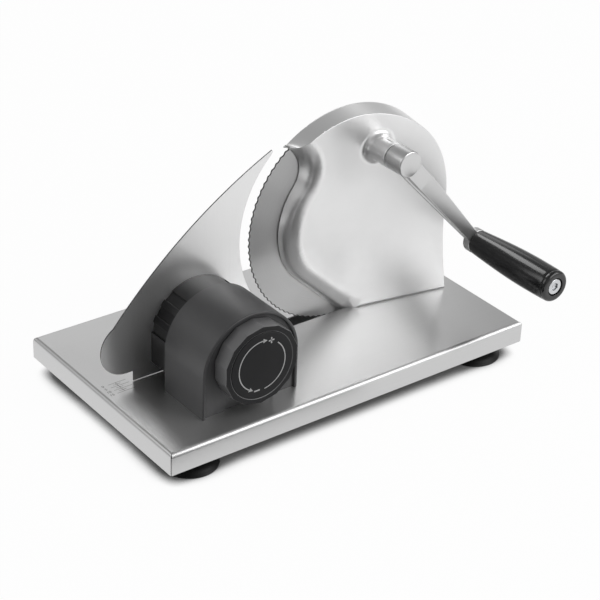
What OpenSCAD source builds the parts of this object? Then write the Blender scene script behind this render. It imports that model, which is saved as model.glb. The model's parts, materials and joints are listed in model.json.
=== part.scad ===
// Hand-cranked bread slicer. Bench coordinates inside the modules: x from the left short edge,
// y from the near long edge, z from the top of the base plate.

/* [Base] */
// Length of the base plate
base_l = 380; // [370:1:460]
// Width of the base plate
base_w = 220; // [200:1:280]
// Height of the folded skirt
skirt_h = 20; // [18:1:30]
// Sheet thickness of the base plate
base_t = 1.5; // [1:0.1:2.5]
// Outer radius of the folds
bend_r = 4; // [3:0.5:6]

/* [Feet] */
// Diameter of a suction foot
foot_d = 50; // [36:1:55]
// Height of the skirt's lower edge above the table
foot_drop = 14; // [12:1:25]
// Foot centre from the short edge of the base
foot_x = 35; // [28:1:60]
// Foot centre from the long edge of the base
foot_y = 26; // [25:1:40]
// Diameter of a foot stud
stud_d = 6; // [5:0.5:8]
// Length of a threaded post under the base
post_h = 10; // [8:1:12]

/* [Blade] */
// Diameter over the tips of the wavy edge
blade_d = 200; // [188:1:204]
// Thickness of the blade
blade_t = 1.5; // [1.2:0.1:2.5]
// Blade axis from the left edge of the base
blade_x = 256; // [250:1:262]
// Cutting plane from the near edge of the base
blade_y = 117.7; // [114:0.1:124]
// Depth of the blade below the top of the base
blade_dip = 7; // [4:0.5:12]
// Width of the ground bevel
bevel_w = 21; // [10:1:26]
// Number of waves in the edge
wave_n = 96; // [60:1:110]
// Depth of a wave
wave_depth = 1; // [0.5:0.1:1.4]
// Diameter of the blade's fixed axle
axle_d = 12; // [10:0.5:14]

/* [Drive] */
// Gear module
gear_m = 2; // [1.9:0.05:2.1]
// Teeth on the crank pinion
pinion_n = 24; // [20:1:26]
// Teeth on the blade gear
gear_n = 49; // [46:1:52]
// Face width of the blade gear
gear_t = 6; // [4:0.5:6.5]
// Direction from the blade axis to the crank axis
mesh_a = 74.1; // [68:0.1:80]
// Diameter of the crank shaft
shaft_d = 10; // [8:0.5:11]
// Wall of the bushes
bush_t = 3; // [2:0.25:3.5]

/* [Guard] */
// Radial room between the blade's edge and the outside of the rim
rim_gap = 6.5; // [6:0.5:10]
// Wall of the casting
guard_wall = 2.5; // [2:0.1:3]
// Distance of the front face before the cutting plane, at the foot below the blade axis
face_depth = 11.7; // [11:0.1:14]
// Turn of the right half of the front face towards the user
face_slant = 10.5; // [6:0.5:12]
// Forward lean of the front face
face_lean = 3; // [2:0.5:5]
// Width of the rounded nose along the S-shaped edge
nose_w = 14; // [10:0.5:18]
// Radius of the round part of the S-shaped edge about the blade axis
lip_r = 71.5; // [69:0.5:74]
// Radius of the hollow at the top of the S-shaped edge
scoop_r = 26; // [20:1:30]
// Direction of that hollow's centre from the blade axis
scoop_a = 142.3; // [138:0.1:146]
// Direction in which the S-shaped edge turns into a straight toe
toe_a = 228; // [224:0.5:230]
// How far the side of the front face is drawn in
side_draft = 14; // [8:1:16]
// How far the top of the front face is drawn in
top_draft = 3.5; // [2:0.5:6]
// Thickness of the sole that stands on the base
sole_h = 8; // [6:0.5:10]
// Diameter of the crank bearing boss
boss_d = 24; // [22:0.5:28]
// Fillet round the root of the boss
boss_fillet = 9; // [6:0.5:12]
// Length of the boss in front of the face
boss_len = 23; // [18:1:28]

/* [Crank] */
// Distance from the crank axis to the grip axis
crank_r = 132; // [115:1:136]
// Direction of the arm at rest
crank_a = -48.5; // [-60:0.5:-40]
// Diameter of the arm's hub
hub_d = 24; // [22:0.5:28]
// Length of the hub
hub_len = 21; // [18:0.5:26]
// Greatest width of the arm
arm_w = 16.5; // [13:0.5:18]
// Diameter of the end lug
lug_d = 23; // [22:0.5:28]
// Thickness of the end lug
lug_t = 8; // [6:0.5:10]

/* [Grip] */
// Length of the grip
grip_l = 100; // [85:1:110]
// Greatest diameter of the grip
grip_d = 30; // [28:0.5:34]
// Diameter of the grip at the arm
grip_neck_d = 23; // [20:0.5:25]
// Diameter of the grip bolt's shank
bolt_d = 6; // [5:0.5:7]

/* [Fence] */
// Thickness of the fence plate
fence_t = 1.2; // [1:0.1:2]
// Slice thickness set at rest
slice_rest = 6.5; // [4:0.5:8]
// Greatest slice thickness
slice_max = 15; // [12:0.5:16]
// How much larger the radius of the fence's hollow edge is than the blade's
fence_gap = 5.6; // [4:0.2:8]
// Centre of that hollow edge to the left of the blade axis
hollow_left = 8.6; // [6:0.2:10]
// Centre of that hollow edge above the blade axis
hollow_up = 7.4; // [6:0.2:8]
// Radius of the long swept edge
sweep_r = 486; // [470:1:500]
// Radius of the lower left lobe
lobe_r = 24.8; // [20:0.2:27]
// Right end of the fence plate
fence_end = 174; // [168:1:178]

/* [Adjuster] */
// Width of the housing
housing_w = 96; // [94:1:104]
// Centre of the housing from the left edge of the base
housing_x = 96.7; // [94:0.1:98]
// Front rim of the housing from the near edge of the base
housing_y = 27; // [24:0.5:29]
// Depth of the housing
housing_l = 57; // [52:1:60]
// Height of the arch's centre above the base
arch_z = 38; // [36:1:42]
// Wall of the housing
housing_wall = 3; // [2.5:0.1:3.5]
// Front plate behind the rim
plate_inset = 2.5; // [2:0.5:4]
// Thickness of the front plate
plate_t = 3.5; // [3:0.5:5]
// Wall of the sleeve
sleeve_wall = 2.5; // [2:0.1:3]
// Knob size across flats
knob_d = 71; // [64:1:74]
// Number of flats on the knob
knob_n = 14; // [13:1:18]
// Depth of the knob
knob_l = 16.5; // [15:0.5:20]
// Height of the knob's axis
knob_z = 44.5; // [42:0.5:46]
// Diameter of the lead screw
spindle_d = 10; // [8:0.5:12]

/* [Clearances] */
// Radial clearance of a turning fit
run_gap = 0.05; // [0.03:0.01:0.08]
// Radial clearance of a pin or thread in its own hole
seat_gap = 0.02; // [0.01:0.01:0.05]
// Gap between flat faces that slide on each other
face_gap = 0.3; // [0.2:0.05:0.5]
// Gap between the sleeve and the housing
slide_gap = 0.6; // [0.4:0.1:0.8]
// Height of the fence plate above the base
hover = 0.6; // [0.5:0.1:1.5]
// Backlash of the gears
backlash = 0.3; // [0.2:0.05:0.5]

/* [Hidden] */
$fn = 64;
cut = 1;

// Feet
floor_z = -skirt_h - foot_drop;
post_z = -base_t - post_h;
post_wall = 5;
post_d = stud_d + 2 * post_wall;
foot_nut_h = 4;
foot_nut_d = stud_d + 5;
foot_top = post_z - foot_nut_h;
foot_lip = 3.5;
foot_edge = 1.4;
foot_cup = 5;
foot_neck_r = 10;
foot_dome = 9;
stud_in_foot = 8;
foot_spots = [[foot_x, foot_y], [base_l - foot_x, foot_y],
    [foot_x, base_w - foot_y], [base_l - foot_x, base_w - foot_y]];

// Blade and drive
blade_r = blade_d / 2;
blade_z = blade_r - blade_dip;
blade_front = blade_y - blade_t;
edge_land = 0.3;
wave_r = 4;
slot_margin = 20;
slot_half = sqrt(blade_r * blade_r - blade_z * blade_z) + slot_margin;
slot_ahead = 8.2;
slot_behind = 5.8;
gear_r = gear_m * gear_n / 2;
pinion_r = gear_m * pinion_n / 2;
axis_gap = gear_r + pinion_r;
crank_x = blade_x + axis_gap * cos(mesh_a);
crank_z = blade_z + axis_gap * sin(mesh_a);
pressure_a = 20;
gear_hub_r = 14;
gear_hub_l = 2.4;
gear_y = blade_front - gear_t;
hub_rear_y = gear_y - gear_hub_l;
axle_r = axle_d / 2;
axle_tail_r = 4;
axle_shoulder = hub_rear_y - face_gap;
blade_bush_r = axle_r + bush_t;
rivet_r = 2;
rivet_pcd = 38;
rivet_n = 4;
washer_t = 0.4;
axle_end = blade_y + face_gap + washer_t;
lock_head_r = 13;
lock_head_h = 3;
lock_thread_r = 2.5;
lock_thread_l = 9;

// Guard
rim_r = blade_r + rim_gap;
guard_back = blade_y + 0.5;
lip_room = 1;
lip_t = 2.2;
lip_back = blade_front - lip_room;
lip_y = lip_back - lip_t;
slant = tan(face_slant);
lean = tan(face_lean);
slant_soft = 16;
rim_round = 2.5;
scoop_d = lip_r + scoop_r;
lip_a = scoop_a - asin(scoop_r / scoop_d);
toe_x = (lip_r + blade_z * sin(toe_a)) / cos(toe_a);
toe_end = 360 + atan2(-blade_z, toe_x);
jump_a = 0.5;
rim_steps = 26;
lip_steps = 40;
foot_steps = 8;
side_steps = 8;
shaft_r = shaft_d / 2;
bush_r = shaft_r + bush_t;
boss_r = boss_d / 2;
crank_off = [crank_x - blade_x, crank_z - blade_z];
crank_face = face_y(crank_off);
boss_y = crank_face - boss_len;
collar_y = crank_face + guard_wall + 2;
boss_root = crank_face + 1;
boss_profile = concat([[0, boss_y], [boss_r, boss_y]],
    [for (a = [0:22.5:90]) [boss_r + boss_fillet * (1 - cos(a)), boss_root - boss_fillet * (1 - sin(a))]],
    [[boss_r + boss_fillet, collar_y], [0, collar_y]]);
axle_boss_r = 11;
axle_pad = 1.2;
axle_bore_y = face_y([0, 0]) + axle_pad;
guard_screw_r = 2.4;
guard_screw_l = 6.5;
guard_screw_n = 3;
guard_screw_x = 24;
guard_screw_pitch = 34;
guard_screw_xs = [for (i = [0:guard_screw_n - 1]) blade_x + guard_screw_x + i * guard_screw_pitch];
screw_setback = 5;

// Crank and grip
clip_t = 1;
clip_y = collar_y + face_gap;
pinion_hub_r = 9;
pinion_hub_y = clip_y + clip_t;
pinion_end = blade_front - face_gap;
thrust_t = 0.8;
thrust_y = boss_y - face_gap / 2 - thrust_t;
hub_back = thrust_y;
hub_front = hub_back - hub_len;
hub_r = hub_d / 2;
hub_skin = 2.5;
hub_recess = 1.2;
arm_bend = 30;
arm_end_w = 11;
arm_thin = 7.3;
lug_r = lug_d / 2;
lug_front = hub_front + 0.7;
bolt_r = bolt_d / 2;
grip_y = lug_front - face_gap;
grip_end_y = grip_y - grip_l;
grip_x = crank_x + crank_r * cos(crank_a);
grip_z = crank_z + crank_r * sin(crank_a);
grip_swell = 70;
grip_end_d = grip_d - 1.2;
grip_round = 3;
grip_chamfer = 1.4;
pocket_l = 5;
pocket_r = 8.2;
grip_washer_t = 1;
bolt_head_r = 6;
bolt_head_h = 3.2;
hex_key = 4;
set_screw_r = 2.5;

// Fence and sleeve
fence_back = blade_y - slice_rest;
fence_y = fence_back - fence_t;
sweep_x = 387;
sweep_z = -257;
lobe_x = 28;
lobe_z = 35;
notch_x = 34.6;
notch_z = 10.2;
travel_in = slice_max - slice_rest;
plate_y = housing_y + plate_inset;
plate_back = plate_y + plate_t;
sleeve_y = plate_back + travel_in + 3.5;
half_w = housing_w / 2;
inner_w = half_w - housing_wall;
sleeve_w = inner_w - slide_gap;
leg_z = 14;
groove_depth = 1.6;
groove_w = 9;
groove_as = [128, 148, 168];
collar_l = 2.8;
collar_r = spindle_d / 2 + 4;
web_y = plate_back + collar_l + travel_in + 14;
web_t = 9;
nut_h = 7;
nut_d = spindle_d + 9.6;
sleeve_post_l = 14;
fence_stud_r = 2;
fence_nut_h = 3.2;
fence_nut_d = 8;
nut_room = 0.5;
sleeve_post_r = fence_nut_d / 2 + 3 * nut_room;
post_in = sleeve_wall + groove_depth + fence_nut_d / 2 + nut_room;
side_post_z = 27;
sleeve_posts = [[-sleeve_w + post_in, side_post_z], [sleeve_w - post_in, side_post_z],
    [0, arch_z + sleeve_w - post_in]];

// Housing, knob and lead screw
lug_w = 8;
lug_l = 10;
lug_h = 11;
lug_front_y = 20;
lug_rear_y = 10;
lug_ys = [housing_y + lug_front_y, housing_y + housing_l - lug_rear_y];
housing_screw_r = 1.9;
housing_screw_l = 9;
panel_w = 24;
panel_depth = 1.5;
spindle_r = spindle_d / 2;
knob_washer_t = 0.4;
knob_back = plate_y - knob_washer_t - 0.1;
knob_front = knob_back - knob_l;
knob_corner = knob_d / 2 / cos(180 / knob_n);
knob_chamfer = 1.2;
cap_r = 30.5;
cap_t = 2;
cap_proud = 0.2;
knob_well_r = 12;
knob_well = 5.5;
spindle_front = knob_front + knob_well;
spindle_end = fence_y - travel_in - 5.5;
knob_screw_r = 2;
knob_screw_l = 12;

// Screw heads under the base
head_h = 2.6;
head_rim = 2.4;
hole_room = 0.4;

module bench() {
    translate([-base_l / 2, -(base_w + grip_end_y) / 2, -floor_z]) children();
}

// A flat outline in x and z, from y0 to y1
module upright(y0, y1) {
    translate([0, y1, 0]) rotate([90, 0, 0]) linear_extrude(y1 - y0) children();
}

// A round bar along y
module bar(x, z, r, y0, y1) {
    translate([x, y0, z]) rotate([-90, 0, 0]) cylinder(r = r, h = y1 - y0);
}

// A hexagon along y, its size across corners
module hex_y(x, z, d, y0, y1) {
    translate([x, y0, z]) rotate([-90, 0, 0]) cylinder(d = d, h = y1 - y0, $fn = 6);
}

// A profile of [radius, y] turned about an axis along y
module turned(x, z, profile) {
    translate([x, 0, z]) rotate([-90, 0, 0]) rotate_extrude() polygon(profile);
}

// Cross-section of the folded sheet, top at zero
module fold_outline(w, h, r) {
    translate([0, -h]) square([w, h - r]);
    translate([r, -h]) square([w - 2 * r, h]);
    for (x = [r, w - r]) translate([x, -r]) circle(r);
}

module fold_block(l, w, h, r) {
    intersection() {
        translate([0, w, 0]) rotate([90, 0, 0]) linear_extrude(w) fold_outline(l, h, r);
        rotate([90, 0, 90]) linear_extrude(l) fold_outline(w, h, r);
    }
}

module base_hole(spot, r) {
    translate([spot[0], spot[1], -base_t - cut]) cylinder(r = r + hole_room, h = base_t + 2 * cut);
}

module base_plate() {
    color("silver") bench() difference() {
        fold_block(base_l, base_w, skirt_h, bend_r);
        translate([base_t, base_t, -base_t])
            fold_block(base_l - 2 * base_t, base_w - 2 * base_t, skirt_h, bend_r - base_t);
        translate([blade_x - slot_half, blade_y - slot_ahead, -base_t - cut])
            cube([2 * slot_half, slot_ahead + slot_behind, base_t + 2 * cut]);
        for (s = guard_screw_spots()) base_hole(s, guard_screw_r);
        for (s = housing_screw_spots()) base_hole(s, housing_screw_r);
    }
}

module foot(spot) {
    r = foot_d / 2;
    dome = min(foot_dome, foot_top - floor_z - 4);
    color("black") bench() translate([spot[0], spot[1], 0]) difference() {
        rotate_extrude() polygon([[0, floor_z + foot_cup], [r * 0.45, floor_z + foot_cup - 0.8],
            [r - foot_lip, floor_z], [r, floor_z], [r, floor_z + foot_edge],
            [r - 3, floor_z + foot_edge + dome * 0.2], [r * 0.62, floor_z + foot_edge + dome * 0.62],
            [foot_neck_r, floor_z + foot_edge + dome], [foot_neck_r, foot_top], [0, foot_top]]);
        translate([0, 0, foot_top - stud_in_foot])
            cylinder(r = stud_d / 2 + seat_gap, h = stud_in_foot + cut);
    }
}

module foot_front_left() { foot(foot_spots[0]); }
module foot_front_right() { foot(foot_spots[1]); }
module foot_rear_left() { foot(foot_spots[2]); }
module foot_rear_right() { foot(foot_spots[3]); }

module foot_posts() {
    color("gainsboro") bench() for (s = foot_spots) translate([s[0], s[1], post_z]) difference() {
        cylinder(d = post_d, h = post_h);
        translate([0, 0, -cut]) cylinder(r = stud_d / 2 + seat_gap, h = post_h - cut);
    }
}

module foot_studs() {
    color("silver") bench() for (s = foot_spots)
        translate([s[0], s[1], foot_top - stud_in_foot])
            cylinder(d = stud_d, h = stud_in_foot + foot_nut_h + post_h - 3 * cut);
}

module foot_nuts() {
    color("silver") bench() for (s = foot_spots) translate([s[0], s[1], foot_top]) difference() {
        cylinder(d = foot_nut_d, h = foot_nut_h, $fn = 6);
        translate([0, 0, -cut]) cylinder(r = stud_d / 2 + seat_gap, h = foot_nut_h + 2 * cut);
    }
}

// Front face of the guard, p measured from the blade axis
function face_y(p) =
    blade_y - face_depth - slant * (p[0] + sqrt(p[0] * p[0] + slant_soft * slant_soft)) / 2
    - lean * (p[1] + blade_z) + slant * slant_soft / 2;

function polar(r, a) = [r * cos(a), r * sin(a)];

// Near side of the hollow at the top of the S-shaped edge
function scoop_near(a) = let(s = scoop_d * sin(a - scoop_a))
    scoop_d * cos(a - scoop_a) - sqrt(max(0, scoop_r * scoop_r - s * s));

function lip_polar(a) = a < scoop_a ? scoop_near(a) : a < toe_a ? lip_r : lip_r / cos(a - toe_a);

function rim_draft(a) = top_draft + (side_draft - top_draft) * pow(max(0, cos(a)), 1.5);

// Columns round the guard: front point, back point, depth of the back edge, 1 where the rim is rounded
rim_columns = [for (i = [0:rim_steps]) let(a = (lip_a - jump_a) * i / rim_steps)
    [polar(rim_r - rim_draft(a), a), polar(rim_r, a), i < rim_steps ? guard_back : guard_back - lip_room, 1]];
lip_from = lip_a + jump_a;
lip_columns = [for (i = [0:lip_steps]) let(a = lip_from + (toe_end - lip_from) * pow(i / lip_steps, 1.5),
    p = polar(lip_polar(a), a)) [p, p, lip_back, 0]];
foot_columns = [for (i = [1:foot_steps]) let(p = [toe_x + (rim_r - toe_x) * i / foot_steps, -blade_z])
    [p, p, lip_back, 0]];
side_columns = [for (i = [1:side_steps - 1]) let(t = i / side_steps, z = -blade_z * (1 - t))
    [[rim_r - side_draft * sin(90 * t), z], [rim_r, z], guard_back, t]];
columns = concat(rim_columns, lip_columns, foot_columns, side_columns);

lip_line = concat([for (c = lip_columns) c[0]],
    [for (i = [0:4]) polar(scoop_near(lip_a) + (rim_r - scoop_near(lip_a)) * i / 4, lip_a)]);

function nose(p) = let(d = min([for (q = lip_line) norm(p - q)]))
    d >= nose_w ? 0 : 1 - sqrt(1 - pow(1 - d / nose_w, 2));

function rounding(d, amount) = d >= rim_round ? 0
    : amount * (rim_round - sqrt(pow(rim_round, 2) - pow(rim_round - d, 2)));

function skin(p) = let(f = face_y(p)) f + nose(p) * (lip_y - f);
function spot(p, y) = [p[0], y, p[1]];
function toward(p, d) = p * (1 - d / norm(p));

// The inner wall stands inside the outer one, and above the sole
function inset(p) = p * min(1 - guard_wall / norm(p), p[1] < 0 ? (blade_z - sole_h) / -p[1] : 1);
rim_tip = polar(scoop_near(lip_a) - guard_wall, lip_a - jump_a);
function inner_front(i) = i == rim_steps ? rim_tip : inset(columns[i][0]);
function inner_back(i) = inset(columns[i][1]);

near_rings = [0.7 * nose_w, 0.45 * nose_w, 0.25 * nose_w, 0.12 * nose_w, 0.04 * nose_w, 0];
far_rings = [0.3, 0.6, 0.8, 1];
inner_near = [0, 0.3 * nose_w, 0.7 * nose_w];
inner_far = [1, 0.6, 0.3];

guard_rings = concat(
    [for (f = far_rings) [for (c = columns) let(p = toward(c[0], nose_w) * f) spot(p, skin(p))]],
    [for (d = near_rings) [for (c = columns) let(p = toward(c[0], d))
        spot(p, skin(p) + rounding(d, c[3]))]],
    [[for (c = columns) spot(c[1], c[2])]],
    [[for (i = [0:len(columns) - 1]) spot(inner_back(i), columns[i][2])]],
    [for (d = inner_near) [for (i = [0:len(columns) - 1]) let(p = toward(inner_front(i), d))
        spot(p, skin(p) + guard_wall)]],
    [for (f = inner_far) [for (i = [0:len(columns) - 1]) let(p = toward(inner_front(i), nose_w) * f)
        spot(p, skin(p) + guard_wall)]]);

module guard_shell() {
    n = len(columns);
    k = len(guard_rings);
    centre = [0, 0];
    points = concat([for (ring = guard_rings) for (p = ring) p],
        [spot(centre, skin(centre)), spot(centre, skin(centre) + guard_wall)]);
    faces = concat(
        [for (i = [0:n - 1]) [k * n, (i + 1) % n, i]],
        [for (j = [0:k - 2]) for (i = [0:n - 1]) [j * n + i, j * n + (i + 1) % n, (j + 1) * n + (i + 1) % n]],
        [for (j = [0:k - 2]) for (i = [0:n - 1]) [j * n + i, (j + 1) * n + (i + 1) % n, (j + 1) * n + i]],
        [for (i = [0:n - 1]) [k * n + 1, (k - 1) * n + i, (k - 1) * n + (i + 1) % n]]);
    translate([blade_x, 0, blade_z]) polyhedron(points, faces);
}

function guard_screw_spots() =
    [for (x = guard_screw_xs) [x, face_y([x - blade_x, -blade_z]) + screw_setback]];

module blade_guard() {
    color("lightgray") bench() difference() {
        union() {
            guard_shell();
            turned(crank_x, crank_z, boss_profile);
            bar(blade_x, blade_z, axle_boss_r, axle_bore_y, axle_shoulder);
        }
        bar(crank_x, crank_z, bush_r + seat_gap, boss_y - cut, collar_y + cut);
        bar(blade_x, blade_z, axle_tail_r + seat_gap, axle_bore_y, axle_shoulder + cut);
        for (s = guard_screw_spots())
            translate([s[0], s[1], -cut]) cylinder(r = guard_screw_r + seat_gap, h = guard_screw_l + cut);
    }
}

module pan_screw(spot, r, l) {
    translate([spot[0], spot[1], -base_t - head_h]) cylinder(r = r + head_rim, h = head_h);
    translate([spot[0], spot[1], -base_t]) cylinder(r = r, h = l + base_t);
}

module guard_screws() {
    color("gray") bench() for (s = guard_screw_spots()) pan_screw(s, guard_screw_r, guard_screw_l - cut);
}

module crank_bush() {
    color("peru") bench() difference() {
        bar(crank_x, crank_z, bush_r, boss_y, collar_y);
        bar(crank_x, crank_z, shaft_r + run_gap, boss_y - cut, collar_y + cut);
    }
}

module crank_shaft() {
    color("silver") bench() bar(crank_x, crank_z, shaft_r, hub_front + hub_skin, pinion_end - 0.2);
}

module ring(x, z, r_in, r_out, y0, y1) {
    difference() {
        bar(x, z, r_out, y0, y1);
        bar(x, z, r_in, y0 - cut, y1 + cut);
    }
}

module thrust_washer() {
    color("gainsboro") bench()
        ring(crank_x, crank_z, shaft_r + run_gap, boss_r - 2, thrust_y, thrust_y + thrust_t);
}

// Half the angle of a gear tooth at radius r
function roll(a) = (tan(a) - a * PI / 180) * 180 / PI;
function tooth_half(n, r) = let(pitch_r = gear_m * n / 2, base_r = pitch_r * cos(pressure_a))
    90 / n - backlash / pitch_r * 90 / PI + roll(pressure_a) - (r > base_r ? roll(acos(base_r / r)) : 0);

module gear_outline(n) {
    pitch_r = gear_m * n / 2;
    radii = [for (k = [-1.25, -0.6, 0, 0.5, 0.95]) pitch_r + k * gear_m];
    polygon([for (i = [0:n - 1]) for (side = [-1, 1]) for (j = [0:4]) let(r = radii[side < 0 ? j : 4 - j])
        polar(r, 360 * i / n + side * tooth_half(n, r))]);
}

module crank_pinion() {
    color("dimgray") bench() difference() {
        union() {
            translate([crank_x, 0, crank_z]) upright(gear_y, pinion_end)
                rotate(mesh_a + 180 + 180 / pinion_n) gear_outline(pinion_n);
            bar(crank_x, crank_z, pinion_hub_r, pinion_hub_y, gear_y);
        }
        bar(crank_x, crank_z, shaft_r + seat_gap, pinion_hub_y - cut, pinion_end + cut);
    }
}

module shaft_clip() {
    color("gray") bench() ring(crank_x, crank_z, shaft_r + seat_gap, shaft_r + 3, clip_y, clip_y + clip_t);
}

// Places children with x along the arm and y along the crank axis
module on_arm() {
    translate([crank_x, 0, crank_z]) rotate([0, -crank_a, 0]) children();
}

module crank_arm() {
    half = arm_w / 2;
    tip = arm_end_w / 2;
    face = hub_front + hub_recess;
    thin_back = lug_front + arm_thin;
    color("lightgray") bench() on_arm() difference() {
        union() {
            bar(0, 0, hub_r, hub_front, hub_back);
            bar(crank_r, 0, lug_r, lug_front, lug_front + lug_t);
            intersection() {
                upright(hub_front, hub_back) polygon([[0, -half], [arm_bend, -half], [crank_r, -tip],
                    [crank_r, tip], [arm_bend, half], [0, half]]);
                translate([0, 0, -arm_w]) linear_extrude(2 * arm_w) polygon([[0, face], [arm_bend, face],
                    [crank_r, lug_front], [crank_r, thin_back], [crank_r - lug_r, thin_back],
                    [hub_r, hub_back - cut], [0, hub_back - cut]]);
            }
        }
        bar(0, 0, shaft_r + seat_gap, hub_front + hub_skin, hub_back + cut);
        bar(crank_r, 0, bolt_r + seat_gap, lug_front - cut, lug_front + lug_t + cut);
        translate([-hub_r - cut, hub_front + hub_len / 2, 0]) rotate([0, 90, 0])
            cylinder(r = set_screw_r + seat_gap, h = hub_r + cut - shaft_r / 2);
    }
}

module arm_set_screw() {
    color("dimgray") bench() on_arm() translate([-hub_r + 0.4, hub_front + hub_len / 2, 0]) rotate([0, 90, 0])
        difference() {
            cylinder(r = set_screw_r, h = hub_r - 0.4 - shaft_r - seat_gap);
            translate([0, 0, -cut]) cylinder(d = set_screw_r * 1.2, h = 2 * cut + 1, $fn = 6);
        }
}

module handle_grip() {
    neck = grip_neck_d / 2;
    wide = grip_d / 2;
    end = grip_end_d / 2;
    swell = min(grip_swell, grip_l - 3 * grip_round);
    bow = [for (t = [0:0.2:1]) [neck + (wide - neck) * sin(90 * t), grip_y - grip_chamfer - t * swell]];
    round_end = [for (a = [0:22.5:90])
        [end - grip_round * (1 - cos(a)), grip_end_y + grip_round * (1 - sin(a))]];
    color("black") bench() turned(grip_x, grip_z, concat(
        [[bolt_r + run_gap, grip_y], [neck - grip_chamfer, grip_y]], bow, round_end,
        [[pocket_r, grip_end_y], [pocket_r, grip_end_y + pocket_l],
            [bolt_r + run_gap, grip_end_y + pocket_l]]));
}

module handle_bolt() {
    seat = grip_end_y + pocket_l - face_gap - grip_washer_t;
    color("silver") bench() difference() {
        union() {
            bar(grip_x, grip_z, bolt_r, seat, lug_front + lug_t);
            bar(grip_x, grip_z, bolt_head_r, seat - bolt_head_h, seat);
        }
        hex_y(grip_x, grip_z, hex_key / cos(30), seat - bolt_head_h - cut, seat - cut);
    }
}

module handle_washer() {
    seat = grip_end_y + pocket_l - face_gap;
    color("gray") bench() ring(grip_x, grip_z, bolt_r + seat_gap, pocket_r - 0.7, seat - grip_washer_t, seat);
}

module rivet_spots() {
    for (i = [0:rivet_n - 1]) rotate([0, 45 + 360 * i / rivet_n, 0]) children();
}

module blade() {
    color("gainsboro") bench() translate([blade_x, 0, blade_z]) difference() {
        intersection() {
            upright(blade_front, blade_y) difference() {
                circle(blade_r);
                for (i = [0:wave_n - 1]) rotate(360 * i / wave_n)
                    translate([blade_r - wave_depth + wave_r, 0]) circle(wave_r, $fn = 32);
            }
            turned(0, 0, [[0, blade_front], [blade_r - bevel_w, blade_front],
                [blade_r + cut, blade_y - edge_land], [blade_r + cut, blade_y], [0, blade_y]]);
        }
        bar(0, 0, blade_bush_r + seat_gap, blade_front - cut, blade_y + cut);
        rivet_spots() bar(rivet_pcd / 2, 0, rivet_r + seat_gap, blade_front - cut, blade_y + cut);
    }
}

module blade_gear() {
    color("ivory") bench() translate([blade_x, 0, blade_z]) difference() {
        union() {
            upright(gear_y, blade_front) rotate(mesh_a) gear_outline(gear_n);
            bar(0, 0, gear_hub_r, hub_rear_y, gear_y);
        }
        bar(0, 0, blade_bush_r + seat_gap, hub_rear_y - cut, blade_front + cut);
        rivet_spots() bar(rivet_pcd / 2, 0, rivet_r + seat_gap, gear_y - cut, blade_front + cut);
    }
}

module blade_bush() {
    color("peru") bench() ring(blade_x, blade_z, axle_r + run_gap, blade_bush_r, hub_rear_y, blade_y);
}

module blade_axle() {
    color("silver") bench() difference() {
        union() {
            bar(blade_x, blade_z, axle_tail_r, axle_bore_y, axle_shoulder + cut / 2);
            bar(blade_x, blade_z, axle_r, axle_shoulder, axle_end);
        }
        bar(blade_x, blade_z, lock_thread_r + seat_gap, axle_end - lock_thread_l - cut, axle_end + cut);
    }
}

module blade_rivets() {
    color("gray") bench() translate([blade_x, 0, blade_z]) rivet_spots()
        bar(rivet_pcd / 2, 0, rivet_r, gear_y, blade_y);
}

module blade_lock_screw() {
    crown = lock_head_r - 2;
    color("silver") bench() difference() {
        union() {
            bar(blade_x, blade_z, lock_thread_r, axle_end - lock_thread_l, axle_end);
            turned(blade_x, blade_z, [[0, axle_end], [lock_head_r, axle_end],
                [lock_head_r, axle_end + lock_head_h / 2], [crown, axle_end + lock_head_h],
                [0, axle_end + lock_head_h]]);
        }
        translate([blade_x - lock_head_r - cut, axle_end + lock_head_h / 2, blade_z - 1])
            cube([2 * lock_head_r + 2 * cut, lock_head_h, 2]);
    }
}

module lock_washer() {
    color("gray") bench()
        ring(blade_x, blade_z, axle_r + seat_gap, lock_head_r - 1.5, axle_end - washer_t, axle_end);
}

module fence_outline() {
    out = sweep_r / 2;
    reach = norm([sweep_x - lobe_x, sweep_z - lobe_z]);
    lean_out = [lobe_x - sweep_x, lobe_z - sweep_z] / reach;
    far = [lobe_x, lobe_z] + lean_out * out;
    difference() {
        union() {
            translate([lobe_x, lobe_z]) circle(lobe_r);
            intersection() {
                translate([sweep_x, sweep_z]) circle(sweep_r, $fn = 200);
                polygon([[lobe_x, lobe_z], far, [fence_end, far[1]], [fence_end, hover], [notch_x, hover],
                    [notch_x, notch_z], [lobe_x, notch_z]]);
            }
        }
        translate([blade_x - hollow_left, blade_z + hollow_up]) circle(blade_r + fence_gap, $fn = 128);
    }
}

module fence_plate() {
    color("silver") bench() upright(fence_y, fence_back) fence_outline();
}

// Arch with straight legs, centred on x, from z0 up
module arch(w, z0) {
    intersection() {
        translate([0, arch_z]) circle(w);
        translate([-w, arch_z]) square([2 * w, w]);
    }
    translate([-w, z0]) square([2 * w, arch_z - z0]);
}

module sleeve_grooves() {
    for (a = groove_as) for (m = [0, 1]) mirror([m, 0, 0])
        translate([0, 0, arch_z]) rotate([0, -a, 0])
            translate([sleeve_w - groove_depth, sleeve_y - cut, -groove_w / 2])
                cube([2 * groove_depth, fence_y - sleeve_y + 2 * cut, groove_w]);
}

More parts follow.
